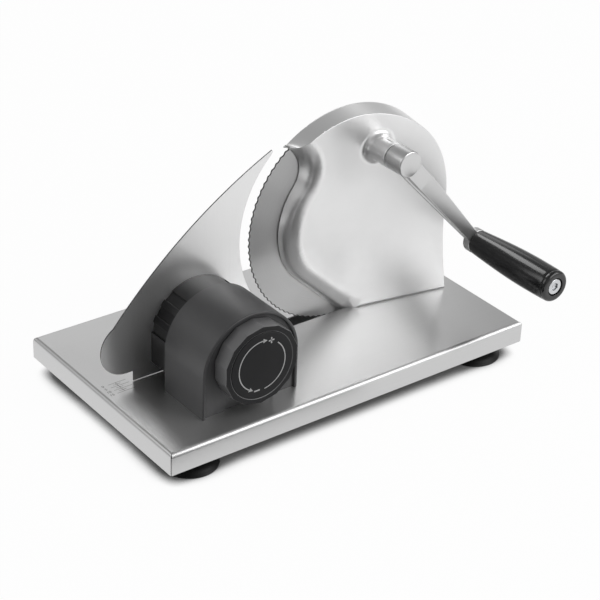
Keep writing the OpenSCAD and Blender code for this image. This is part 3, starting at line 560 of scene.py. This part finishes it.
def guardSkin(p, lipEdge, front):  # the face with its round nose, the boss's fillet and the rim's fine radius
    g = guardSet
    skin = faceY(p)
    high = np.interp(p[:, 1], g["noseZ"], (0, 1))
    d = np.clip(distance(p, lipEdge) / (g["noseW"][0] + (g["noseW"][1] - g["noseW"][0]) * high), 0, 1)
    below, above = [np.interp(d, *zip(*shape)) for shape in noseShape]
    skin += (g["lipBack"] - skin) * (below + (above - below) * high)
    r = np.clip((np.hypot(*(p - crankAt).T) - g["bossR"]) / g["bossFillet"], 0, 1)
    skin -= g["bossFillet"] * (1 - np.sqrt(1 - (1 - r) ** 2))
    e = np.clip(distance(p, front) / g["rimRound"], 0, 1)
    return skin + g["rimRound"] * (1 - np.sqrt(1 - (1 - e) ** 2))


def guardCasting():
    g, s = guardSet, skinSet
    lipEdge, front, back = guardLines()
    right, left = front[-1][0], lipEdge[-1][0]
    sole = np.array([(left + (right - left) * i / s["soleSteps"], -bladeZ) for i in range(1, s["soleSteps"])])
    outline = np.concatenate([lipEdge, sole, front[::-1][:-1]])
    edgeLine = np.concatenate([outline, outline[:1]])
    points, edges = [], []

    def addRow(row, closed=False):
        first = len(points)
        points.extend(map(tuple, row))
        edges.extend((first + i, first + i + 1) for i in range(len(row) - 1))
        if closed:
            edges.append((first + len(row) - 1, first))

    def addKept(row, keep):  # the stretches of a row that are kept
        run = []
        for p, good in [*zip(row, keep), (None, False)]:
            if good:
                run.append(p)
            elif run:
                addRow(run)
                run = []

    addRow(outline, True)
    lowest = s["soleGap"] - bladeZ
    for i in range(1, s["noseRows"] + 1):
        d = g["noseW"][0] * (1 - cos(radians(90 * i / s["noseRows"])))
        row = shifted(lipEdge, d)
        keep = within(row, outline) & (distance(row, lipEdge) > d - s["rowSlack"])
        addKept(row, keep & (distance(row, front) > s["rimGap"]) & (row[:, 1] > lowest))
    for part in s["rimRows"]:
        row = shifted(front, -part * g["rimRound"])
        addKept(row, within(row, outline) & (distance(row, lipEdge) > s["lipGap"]) & (row[:, 1] > lowest))
    for i in range(s["filletSteps"] + 1):
        r = g["bossR"] + g["bossFillet"] * (1 - cos(radians(90 * i / s["filletSteps"])))
        addRow(arc(crankAt, r, 0, 360, s["ringMm"])[:-1], True)
    hole = np.array(arc(crankAt, g["bossR"], 0, 360, s["ringMm"])[:-1])
    cell = s["gridMm"]
    count = int(2.1 * rimR / cell)  # a little past the rim, in rows of even triangles
    grid = np.array([(-rimR + (i + 0.5 * (j % 2)) * cell, -bladeZ + j * cell * 0.866)
                     for j in range(count) for i in range(count)])
    grid = grid[within(grid, outline)]
    grid = grid[(distance(grid, edgeLine) > s["edgeGap"])
                & (distance(grid, lipEdge) > g["noseW"][0] + s["rowGap"])
                & (np.hypot(*(grid - crankAt).T) > g["bossR"] + g["bossFillet"] + s["rowGap"])]
    points.extend(map(tuple, grid))
    spots, _, faces, *_ = delaunay_2d_cdt([Vector(p) for p in points], edges, [], 0, s["mergeMm"])
    spots = np.array(spots)
    centres = np.array([spots[list(f)].mean(0) for f in faces])
    keep = within(centres, outline) & ~within(centres, hole)
    skin = guardSkin(spots, lipEdge, front)
    face = ([(bladeX + x, y, bladeZ + z) for (x, z), y in zip(spots, skin)],
            [f for f, good in zip(faces, keep) if good])

    def onRim(a, b, y, t):  # from the face's edge to the back edge
        return (bladeX + a[0] + (b[0] - a[0]) * t, y + (guardBack - y) * t,
                bladeZ + a[1] + (b[1] - a[1]) * t)

    depth = guardSkin(front, lipEdge, front)
    rim = loft([[onRim(a, b, y, t) for a, b, y in zip(front, back, depth)] for t in s["rimSteps"]], False)
    root = faceY(hole) - g["bossFillet"]
    ends = [(g["bossR"], bossY + g["bossEdge"]), (g["bossR"] - g["bossSoft"][0], bossY + g["bossSoft"][1]),
            (g["bossR"] - g["bossEdge"], bossY), (g["bossHole"], bossY)]
    rings = [[(bladeX + x, y, bladeZ + z) for (x, z), y in zip(hole, root)]]
    rings += [[(crankX + (x - crankAt[0]) * r / g["bossR"], y, crankZ + (z - crankAt[1]) * r / g["bossR"])
               for x, z in hole] for r, y in ends]
    return joined(face, rim, loft(rings))


inX, inY = guardSet["inward"]
addPiece("guard_casting", guardCasting(), guardMetal, "frame", ["blade_guard"],
         inside=(bladeX + inX, guardBack + inY, bladeZ), wall=guardSet["wall"], sharp=60)

# Inside of the guard, seen from behind and below: its sole, the crank's collar and the axle's boss
insideSet = dict(soleFrom=4, soleSteps=24, soleLow=0.02, soleH=8.0, lipGap=1, collarSet=3, collarIn=1,
                 axleBore=4.05, axleR=11, axleSet=0.8, gearGap=0.3, axleEdge=0.5, edge=0.4)


def guardInside():
    g, s = guardSet, insideSet
    xs = np.linspace(s["soleFrom"], rimR - g["wall"], s["soleSteps"])
    lipEdge, front, _ = guardLines()
    skin = guardSkin(np.stack([xs, np.full(s["soleSteps"], -bladeZ)], 1), lipEdge, front)
    ahead = np.minimum(skin + g["wall"], g["lipBack"] - s["lipGap"])
    plan = [(bladeX + x, y) for x, y in zip(xs, ahead)]
    plan += [(bladeX + xs[-1], g["lipBack"]), (bladeX + xs[0], g["lipBack"])]
    sole = loft([[(x, y, z) for x, y in plan] for z in (s["soleLow"], s["soleH"])], True, (0, 1))
    bushEnd, collarY, collarR = boxMm("crank_bush")[1].y, bossY + s["collarSet"], g["bossR"] - s["collarIn"]
    collar = lathe([(g["bossHole"], collarY), (collarR, collarY), (collarR, bushEnd),
                    (g["bossHole"], bushEnd)], crankAxis, True)
    near, far = boxMm("blade_axle")[0].y + s["axleSet"], boxMm("blade_gear")[0].y - s["gearGap"]
    axle = lathe([(s["axleBore"], near), (s["axleR"], near), (s["axleR"], far - s["axleEdge"]),
                  (s["axleR"] - s["axleEdge"], far), (s["axleBore"], far)], bladeAxis, True)
    return joined(sole, collar, axle)


addPiece("guard_bosses", guardInside(), guardMetal, "frame", ["blade_guard"],
         soften=insideSet["edge"])
print("guard made")

# Blade: a ground disc, a long bevel with a scribed line at its root, and a wavy edge
bladeSet = dict(thick=1.5, bevel=21.0, bevelPast=1, bevelStops=(0.6, 7, 14), waves=96, waveDepth=1.0,
                waveR=4.0, perWave=8, bore=9.02, land=0.9, scribed=((1.2, 0), (0.7, 0.12), (0.2, 0)),
                hone=0.7, shadeShare=0.9)


def bladeDisc():
    b = bladeSet
    low, high = boxMm("blade")
    root = bladeR - b["bevel"]
    centre = bladeR - b["waveDepth"] + b["waveR"]
    count = b["waves"] * b["perWave"]

    def edgeR(i):
        a = ((i % b["perWave"]) / b["perWave"] - 0.5) * 2 * pi / b["waves"]
        off = centre * sin(a)
        return min(bladeR, centre * cos(a) - sqrt(max(0, b["waveR"] ** 2 - off * off)))

    def bevelY(r):
        return low.y + (r - root) / (b["bevel"] + b["bevelPast"]) * (b["thick"] - b["land"])

    rings = []
    for i in range(count + 1):
        tip = edgeR(i)
        bevel = [root + stop for stop in b["bevelStops"]] + [tip - b["hone"], tip]
        profile = [(b["bore"], low.y)] + stepped(root, low.y, b["scribed"]) + [(root, low.y)]
        profile += [(r, bevelY(r)) for r in bevel]
        profile += [(tip, high.y), (root, high.y), (b["bore"], high.y)]
        deg = 360 * (i / b["perWave"] - 0.5) / b["waves"]
        rings.append([about(bladeAxis, r, deg, y) for r, y in profile])
    return loft(rings)


def honedEdge(spot, normal):  # painted shade: the narrow dark band along the waves, for the shadow of the edge's thickness
    b = bladeSet
    reach = hypot(spot.x - bladeX, spot.z - bladeZ)
    return reach > bladeR - b["waveDepth"] - b["hone"] * b["shadeShare"]


addPiece("blade_disc", bladeDisc(), bladeSteel, "blade_set", ["blade"], sharp=30,
         second=(edgeShadeSteel, honedEdge))
print("blade made")

# Fence: a flat plate with one long swept edge, a hollow beside the blade and a round lower lobe
fenceSet = dict(sweep=((387, -257), 486.0), lobe=((28, 35), 24.8), hollow=((247.4, 100.4), 105.6), end=174.0,
                notch=(34.6, 10.2), hover=0.6, tipLow=((0.5, 0.1), (0.1, 0.6), (0, 1.2)),
                tipHigh=((0, 1.2), (0.3, 0.5)), tipTurn=0.15, sweepMm=3, edge=0.25, paintedEdgeSide=0.5)


def fencePlate():
    f = fenceSet
    low, high = boxMm("fence_plate")
    (sweepAt, sweepR), (lobeAt, lobeR), (hollowAt, hollowR) = f["sweep"], f["lobe"], f["hollow"]
    end, hover = f["end"], f["hover"]
    rise = sqrt(hollowR ** 2 - (end - hollowAt[0]) ** 2)
    lowCut, highCut = (end, hollowAt[1] - rise), (end, hollowAt[1] + rise)
    top = (end, sweepAt[1] + sqrt(sweepR ** 2 - (end - sweepAt[0]) ** 2))
    meet = max(circlesMeet(sweepAt, sweepR, lobeAt, lobeR), key=lambda p: p[1])
    outline = [f["notch"], (f["notch"][0], hover), (end, hover)]
    outline += arc(hollowAt, hollowR, bearing(lowCut, hollowAt) % 360, bearing(highCut, hollowAt))[:-1]
    outline += stepped(end, highCut[1], f["tipLow"]) + stepped(end, top[1], f["tipHigh"], -1)
    first, last = bearing(top, sweepAt) + f["tipTurn"], bearing(meet, sweepAt)
    outline += arc(sweepAt, sweepR, first, last, f["sweepMm"])
    outline += arc(lobeAt, lobeR, bearing(meet, lobeAt), 270)[1:]
    return prism(outline, low.y, high.y)


# the plate's thin sides take the dark edge steel: a painted dark reflection along its edges
addPiece("fence_sheet", fencePlate(), fenceSteel, "fence", ["fence_plate"],
         soften=fenceSet["edge"], second=(edgeShadeSteel, lambda spot, normal: abs(normal.y) < fenceSet["paintedEdgeSide"]))
print("fence made")

# Adjuster housing: an arch with a thin rounded rim, an inset front plate and a sunk middle panel
housingSet = dict(wall=3.0, plateY=2.5, plateT=3.5, panelHalf=24.0, panelDepth=1.5, panelSoft=0.1, middle=0.5,
                  archZ=38.0, archSteps=64, legSteps=4, rim=1.1, rimSteps=4, edge=0.35, backEdge=0.4)


def housingShell():
    h = housingSet
    low, high = boxMm("adjuster_housing")
    half, front, rear = (high.x - low.x) / 2, low.y, high.y
    rim, edge, backEdge, soft = h["rim"], h["edge"], h["backEdge"], h["panelSoft"]
    inner, plate, panel = half - h["wall"], front + h["plateY"], h["panelHalf"]
    sunk, behind = plate + h["panelDepth"], plate + h["plateT"]
    quarter = [radians(90 * i / h["rimSteps"]) for i in range(h["rimSteps"] + 1)]

    def rounded(w, y, dw, dy):  # a rounded corner from (w + dw, y) to (w, y + dy)
        return [(w + dw * (1 - sin(a)), y + dy * (1 - cos(a))) for a in quarter]

    section = [(half - backEdge, rear), (half, rear - backEdge)]
    section += rounded(half, front, -rim, rim)[::-1] + rounded(inner, front, rim, rim)
    section += [(inner, plate - edge), (inner - edge, plate), (panel + edge, plate),
                (panel + soft, plate + soft), (panel, plate + edge), (panel, sunk - edge),
                (panel - edge, sunk), (h["middle"], sunk), (h["middle"], behind), (inner, behind),
                (inner, rear - backEdge), (inner + backEdge, rear)]
    leg = [h["archZ"] * i / h["legSteps"] for i in range(h["legSteps"])]
    turns = [pi * i / h["archSteps"] for i in range(h["archSteps"] + 1)]
    rings = []
    for w, y in section:
        arch = [(-w, z) for z in leg] + [(w * -cos(a), h["archZ"] + w * sin(a)) for a in turns]
        arch += [(w, z) for z in leg[::-1]]
        rings.append([(knobX + x, y, z) for x, z in arch])
    columns = [[ring[i] for ring in rings] for i in range(len(rings[0]))]
    return loft(columns, True, (0, len(columns) - 1))


addPiece("housing_shell", housingShell(), housingAbs, "frame", ["adjuster_housing"])
print("housing made")

# Knob: fourteen flats, rounded ends and a well for the cap that carries the printed turning marks.
# Edge pairs are a step inward and a step along the axis.
knobSet = dict(flats=14, across=71.0, trim=0.1, backR=30, backEdge=((0.9, 0), (0.3, 0.25), (0, 0.9)),
               frontEdge=((0, 0.6), (0.08, 0.3), (0.3, 0.08), (0.6, 0)), wellEdge=(0.5, 0.3), screwR=12,
               screwL=5.5, boreR=5.1, capR=30.5, capGap=0.3, capT=2.0,
               capEdge=((0.7, 0), (0.2, 0.15), (0, 0.6)), shadedFront=0.95)


def knobRing(inset, y):
    k = knobSet
    flat = k["across"] / 2
    corner = flat / cos(pi / k["flats"])
    limit = corner - k["trim"] * (corner - flat)
    bend = degrees(acos(flat / limit))
    ring = []
    for i in range(k["flats"]):
        for a in (-bend, -bend / 3, bend / 3, bend, 180 / k["flats"]):  # a flat, then its trimmed corner
            reach = min(flat / cos(radians(a)), limit) - inset
            ring.append(about(knobAxis, reach, 360 * i / k["flats"] + a, y))
    return ring


def knobBody():
    k = knobSet
    low, high = boxMm("adjust_knob")
    front, back = low.y, high.y
    well, wellY, screwY = k["capR"] + k["capGap"], front + k["capT"], front + k["screwL"]
    turned = [(well + k["wellEdge"][0], front), (well, front + k["wellEdge"][1]), (well, wellY),
              (k["screwR"], wellY), (k["screwR"], screwY), (k["boreR"], screwY), (k["boreR"], back),
              (k["backR"], back)]
    degs = [bearing((x, z), knobAxis) for x, _, z in knobRing(0, 0)]
    rings = [knobRing(inset, back - deep) for inset, deep in k["backEdge"]]
    rings += [knobRing(inset, front + deep) for inset, deep in k["frontEdge"]]
    rings += [[about(knobAxis, r, deg, y) for deg in degs] for r, y in turned]
    return loft(rings + rings[:1])


# the knob's front faces take the cap's near-black finish: painted shade on the front, beside the painted
# light of its flats
addPiece("knob_body", knobBody(), knobNylonPaintedLight, "knob", ["adjust_knob"], sharp=5,
         second=(capAbs, lambda spot, normal: -normal.y > knobSet["shadedFront"]))
capFront, capBack = [corner.y for corner in boxMm("knob_cap")]
capR = knobSet["capR"]
capRim = stepped(capR, capFront, knobSet["capEdge"])
addPiece("knob_cap_disc", lathe([(0, capFront), *capRim, (capR, capBack), (0, capBack)], knobAxis),
         capAbs, "knob", ["knob_cap"])

# Turning marks: two part circles, arrowheads, a plus and a minus
markSet = dict(r=23.0, line=0.9, stepMm=1, turn=-17.0, leftArc=(104, 256), rightArc=(66, -66), plus=85.0,
               minus=275.0, size=5.6, stroke=1.3, headL=4.2, headW=4.0, headLap=2, lift=0.04, sunk=0.02)


def knobMarks():
    m = markSet
    r, turn, half = m["r"], m["turn"], m["line"] / 2
    y0, y1 = capFront - m["lift"], capFront + m["sunk"]

    def arcBand(a, b):
        outer = arc(knobAxis, r + half, a + turn, b + turn, m["stepMm"])
        last = len(outer) - 1
        inner = [polar(r - half, a + turn + (b - a) * i / last, knobAxis) for i in range(last + 1)]
        return prism(outer + inner[::-1], y0, y1)

    def head(deg, way):  # an arrowhead on the circle
        tip = polar(r, deg + turn + way * degrees(m["headL"] / r), knobAxis)
        sides = [polar(r + s * m["headW"] / 2, deg + turn, knobAxis) for s in (1, -1)]
        return prism([tip, *sides], y0, y1)

    def dash(deg, wide, tall):  # an upright bar of a sign
        x, z = polar(r, deg + turn, knobAxis)
        signs = ((1, 1), (-1, 1), (-1, -1), (1, -1))
        return prism([(x + s * wide / 2, z + t * tall / 2) for s, t in signs], y0, y1)

    first, last = m["leftArc"]
    long, thin = m["size"], m["stroke"]
    return joined(arcBand(first, last), arcBand(*m["rightArc"]), head(first + m["headLap"], -1),
                  head(last - m["headLap"], 1), dash(m["plus"], long, thin), dash(m["plus"], thin, long),
                  dash(m["minus"], long, thin))


addPiece("knob_marks", knobMarks(), greyInk, "knob")
print("knob made")

# Crank: a turned hub with a low dome, a tapering arm grooved down both sides, and an end lug.
# Stations run along the arm, and edge pairs are a step inward and a step along the axis.
crankSet = dict(hubR=12.0, hubBore=5.03, hubFloor=2.5, hubBack=((0, 0.7), (0.25, 0.2), (0.8, 0)),
                hubDome=((0, 0), (3, 0.05), (6, 0.2), (8.5, 0.4), (10.6, 0.7), (11.5, 1.1), (12.0, 1.9)),
                lugR=11.5, lugT=8.0, lugSet=0.7, lugBore=3.03, lugEdge=((1.2, 0), (0.3, 0.3), (0, 1.2)),
                bend=30.0, bendHalf=0.6, inner=(0, 8, 14, 22), outer=(45, 65, 90, 110), width=(16.5, 11.0),
                hubFront=2.0, bendFront=0.6, backIn=1, endBack=8.0, flange=(4.2, 3.6, 2.3), groove=1.6,
                grooveWall=0.7, edge=0.9, soft=0.25, flangeSoft=0.3)


def crankArm():
    c = crankSet
    front, back = boxMm("crank_arm")[0].y, boxMm("thrust_washer")[0].y
    reach, hubR, bend, lugR = hypot(gripX - crankX, gripZ - crankZ), c["hubR"], c["bend"], c["lugR"]
    deg = bearing(gripAxis, crankAxis)
    ux, uz = cos(radians(deg)), sin(radians(deg))
    deep = back - front - c["backIn"]
    widths = [(0, c["width"][0]), (bend, c["width"][0]), (reach, c["width"][1])]
    fronts = [(0, c["hubFront"]), (hubR, c["hubFront"]), (bend, c["bendFront"]), (reach, c["lugSet"])]
    backs = [(0, deep), (hubR, deep), (reach - lugR, c["endBack"]), (reach, c["endBack"])]
    flanges = [*zip((0, bend, reach), c["flange"])]
    edge, soft = c["edge"], c["soft"]
    rings = []
    for s in (*c["inner"], bend - c["bendHalf"], bend + c["bendHalf"], *c["outer"], reach - lugR, reach):
        w, f, b, lip = along(widths, s) / 2, along(fronts, s), along(backs, s), along(flanges, s)
        near = [(w - edge, 0), (w - soft, soft), (w, edge), (w, lip - c["flangeSoft"]), (w - soft, lip),
                (w - c["groove"], lip + c["grooveWall"])]
        side = [(t, f + y) for t, y in near] + [(t, b - y) for t, y in near[::-1]]
        section = side + [(-t, y) for t, y in side[::-1]]
        rings.append([(crankX + s * ux - t * uz, front + y, crankZ + s * uz + t * ux) for t, y in section])
    arm = loft(rings, True, (0, len(rings) - 1))
    hubFloor, bore = front + c["hubFloor"], c["hubBore"]
    dome = [(r, front + y) for r, y in c["hubDome"]]
    hub = lathe([*dome, *stepped(hubR, back, c["hubBack"], -1), (bore, back), (bore, hubFloor),
                 (0, hubFloor)], crankAxis)
    lugFront, lugBack, bore = front + c["lugSet"], front + c["lugSet"] + c["lugT"], c["lugBore"]
    lug = lathe([(bore, lugFront), *stepped(lugR, lugFront, c["lugEdge"]),
                 *stepped(lugR, lugBack, c["lugEdge"][::-1], -1), (bore, lugBack)], gripAxis, True)
    return joined(arm, hub, lug)


addPiece("crank_casting", crankArm(), crankMetal, "crank", ["crank_arm"], sharp=60)

# Grip: a swelling handle with a fine ring near its end and a pocket for the bolt
gripSet = dict(boreR=3.05, neck=11.5, neckSoft=(0.4, 0.3), wide=15.0, end=14.4, chamfer=1.4, swell=70.0,
               swellSteps=12, taper=((0.1, 18), (0.3, 8)), ringAt=5.0, ringHalf=0.6, ringOut=0.05,
               ringDepth=0.35, round=3.0, roundSteps=6, pocketR=8.2, pocketL=5.0, pocketEdge=0.5)


def gripHandle():
    g = gripSet
    low, high = boxMm("handle_grip")
    near, far, neck, wide, end = high.y, low.y, g["neck"], g["wide"], g["end"]
    profile = [(g["boreR"], near)] + stepped(neck, near, ((g["chamfer"], 0), g["neckSoft"]), -1)
    for i in range(g["swellSteps"] + 1):
        share = i / g["swellSteps"]
        swollen = neck + (wide - neck) * sin(radians(90 * share))
        profile.append((swollen, near - g["chamfer"] - g["swell"] * share))
    profile += stepped(wide, far, g["taper"])
    ring, side, half = far + g["ringAt"], end + g["ringOut"], g["ringHalf"]
    profile += [(side + g["ringOut"], ring + half), (side - g["ringDepth"], ring), (side, ring - half)]
    for i in range(g["roundSteps"] + 1):
        a = radians(90 * i / g["roundSteps"])
        profile.append((end - g["round"] * (1 - cos(a)), far + g["round"] * (1 - sin(a))))
    pocket, floorY = g["pocketR"], far + g["pocketL"]
    profile += [(pocket + g["pocketEdge"], far), (pocket, far + g["pocketEdge"]), (pocket, floorY),
                (g["boreR"], floorY)]
    return lathe(profile, gripAxis, True)


# Bolt in the grip's end: a low head with a hex socket
boltSet = dict(headR=7.3, headH=3.2, headEdge=((1.5, 0), (0.7, 0.1), (0.2, 0.35), (0, 0.7)), socketR=3.9,
               socketDepth=2.4, mouth=((0, 0.5), (-0.5, 0.15)), drillShare=0.85, drillDepth=0.6,
               drillTip=0.01, shankR=3.0, steps=48)


def gripBolt():
    b = boltSet
    low, high = boxMm("handle_bolt")
    front, seat, steps, socket = low.y, low.y + b["headH"], b["steps"], b["socketR"]

    def ring(r, y, hexagon=False):
        points = []
        for i in range(steps):
            a = 360 * i / steps
            reach = r * cos(pi / 6) / cos(radians((a + 30) % 60 - 30)) if hexagon else r
            points.append(about(gripAxis, reach, a, y))
        return points

    floorY = front + b["socketDepth"]
    rings = [ring(b["drillTip"], floorY + b["drillDepth"]), ring(socket * b["drillShare"], floorY, True),
             ring(socket, floorY, True)]
    rings += [ring(r, y, True) for r, y in stepped(socket, front, b["mouth"])]
    rings += [ring(r, y) for r, y in stepped(b["headR"], front, b["headEdge"])]
    rings += [ring(b["headR"], seat), ring(b["shankR"], seat), ring(b["shankR"], high.y)]
    return loft(rings, True, (0, len(rings) - 1))


addPiece("grip_bolt", gripBolt(), zincSteel, "crank", ["handle_bolt"], sharp=40)
grip = addPiece("grip_handle", gripHandle(), gripPhenolic, "grip", ["handle_grip"])
print("crank and grip made")

# Nodes that show as they are, some with a small round on their edges
nodeEdge = dict(sleeve=0.5, fastener=0.25)
dressNode("fence_sleeve", sleeveAbs, nodeEdge["sleeve"])
for name in ("crank_shaft", "thrust_washer", "crank_pinion", "shaft_clip", "arm_set_screw", "blade_axle",
             "blade_rivets", "foot_studs", "fence_studs", "spindle"):
    dressNode(name, zincSteel)
for name in ("handle_washer", "blade_lock_screw", "lock_washer", "guard_screws", "housing_screws",
             "foot_nuts", "foot_posts", "fence_nuts", "knob_screw", "knob_washer"):
    dressNode(name, zincSteel, nodeEdge["fastener"])
for name in ("crank_bush", "blade_bush", "spindle_nut"):
    dressNode(name, turnedBrass)
dressNode("blade_gear", gearAcetal)
print("frame nodes dressed")

# Pale floor: white to the eye and in the metal, with painted shade close under the object, where little sky
# is seen, which turns its colour grey there
floorSet = dict(size=12.0, colour="#f2f2f2", under="#9a9a9a", glow=0.97, shadeReach=0.07, shadeRays=32,
                openSky=(0.32, 0.64))
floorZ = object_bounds()[0].z
floorHalf = floorSet["size"] / 2
floorMesh = bpy.data.meshes.new("studio_floor")
floorMesh.from_pydata(corners(-floorHalf, -floorHalf, floorHalf, floorHalf, floorZ), [], [(0, 1, 2, 3)])
floor = placed("studio_floor", floorMesh)
floorLook = bpy.data.materials.new("paperFloorMatt")
floorLook.use_nodes = True
tree = floorLook.node_tree
tree.nodes.clear()
path = addNode(tree, "LightPath")
seen = addNode(tree, "Math", {"operation": "MAXIMUM"},
               {0: path.outputs["Is Camera Ray"], 1: path.outputs["Is Glossy Ray"]})
seen = addNode(tree, "Math", {"operation": "MAXIMUM"},
               {0: seen.outputs[0], 1: path.outputs["Is Transmission Ray"]})
shade = addNode(tree, "AmbientOcclusion",
                {"Distance": floorSet["shadeReach"], "samples": floorSet["shadeRays"]})
glow = addNode(tree, "Math", {"operation": "MULTIPLY", 1: floorSet["glow"]}, {0: seen.outputs[0]})
lowSky, highSky = floorSet["openSky"]
openTo = addNode(tree, "MapRange", {"From Min": lowSky, "From Max": highSky},
                 {"Value": shade.outputs["AO"]})
glow = addNode(tree, "Math", {"operation": "MULTIPLY"}, {0: glow.outputs[0], 1: openTo.outputs[0]})
# painted shade: the floor's colour falls to grey where its ambient occlusion finds little open sky
tone = addNode(tree, "Mix", {"data_type": "RGBA", 6: linear(floorSet["under"]),
                             7: linear(floorSet["colour"])}, {0: openTo.outputs[0]})
matt = addNode(tree, "BsdfDiffuse", {}, {"Color": tone.outputs[2]})
white = addNode(tree, "Emission", {"Strength": 1.0})
mixed = addNode(tree, "MixShader", {}, {0: glow.outputs[0], 1: matt.outputs[0], 2: white.outputs[0]})
addNode(tree, "OutputMaterial", {}, {"Surface": mixed.outputs[0]})
floorMesh.materials.append(floorLook)

# World: a bright studio horizon under a dimmer ceiling, white to the camera. Height of the gaze, and level.
horizonSet = ((0.0, 0.45), (0.35, 0.5), (0.55, 0.45), (0.8, 0.3), (1.0, 0.25))
world = bpy.data.worlds.new("studio")
scene.world = world
world.use_nodes = True
tree = world.node_tree
tree.nodes.clear()
way = addNode(tree, "TexCoord")
parts = addNode(tree, "SeparateXYZ", {}, {0: way.outputs["Generated"]})
ceiling = addNode(tree, "ValToRGB", {}, {0: parts.outputs["Z"]})
stops = ceiling.color_ramp.elements
while len(stops) < len(horizonSet):
    stops.new(0.5)
for stop, (place, level) in zip(stops, horizonSet):
    stop.position, stop.color = place, (level, level, level, 1)
path = addNode(tree, "LightPath")
tone = addNode(tree, "Mix", {"data_type": "RGBA", 7: (1, 1, 1, 1)},
               {0: path.outputs["Is Camera Ray"], 6: ceiling.outputs[0]})
sky = addNode(tree, "Background", {"Strength": 1.0}, {"Color": tone.outputs[2]})
addNode(tree, "OutputWorld", {}, {"Surface": sky.outputs[0]})

# Lamps: direction from the object, distance and size in metres, brightness of the panel
lampSet = dict(gripStrip=((0.26, 0.53, 0.82), 0.5, (0.24, 0.3), 3.6),
               backPanel=((0.43, 0.76, 0.494), 2.0, (1.2, 0.75), 0.82),
               keyBox=((0.48, -0.7, 0.53), 1.8, (1.6, 1.1), 2.6),
               leftBox=((-0.75, 0.35, 0.56), 1.8, (1.0, 0.9), 1.35))
aimZ = 60  # height of the point that the lamps face
heart = toWorld(baseL / 2, baseW / 2, aimZ)
for name, (way, far, (wide, tall), bright) in lampSet.items():
    lamp = bpy.data.lights.new(name, "AREA")
    lamp.shape, lamp.size, lamp.size_y = "RECTANGLE", wide, tall
    lamp.energy = bright * pi * wide * tall
    panel = placed(name, lamp)
    panel.location = heart + Vector(way).normalized() * far
    panel.rotation_euler = (heart - panel.location).to_track_quat("-Z", "Y").to_euler()
    if name == "gripStrip":  # a small strip that is masked off from all but the grip
        masked = bpy.data.collections.new("grip_only")
        masked.objects.link(grip)
        panel.light_linking.receiver_collection = masked

# Black cards that only the metal sees: two stand before the near left corner, one lies on the floor between
flagSet = dict(left=((-20, -80), (-75, -45), (-135, 40)), ahead=((155, -260), (-150, -260)), top=260,
               mat=((-120, -45), (235, -45), (250, -260), (-120, -260)), lift=0.5)
floorMm = (floorZ - benchOrigin.z) / mm
standing = [loft([[(x, y, z) for x, y in flagSet[run]] for z in (floorMm, flagSet["top"])], False)
            for run in ("left", "ahead")]
lying = [(x, y, floorMm + flagSet["lift"]) for x, y in flagSet["mat"]], [(0, 1, 2, 3)]
flagPoints, flagFaces = joined(*standing, lying)
flagMesh = bpy.data.meshes.new("black_flag")
flagMesh.from_pydata([toWorld(*p) for p in flagPoints], [], flagFaces)
flag = placed("black_flag", flagMesh)
flag.visible_camera = flag.visible_diffuse = flag.visible_shadow = flag.visible_transmission = False
flagMesh.materials.append(footRubber)
print("studio made")
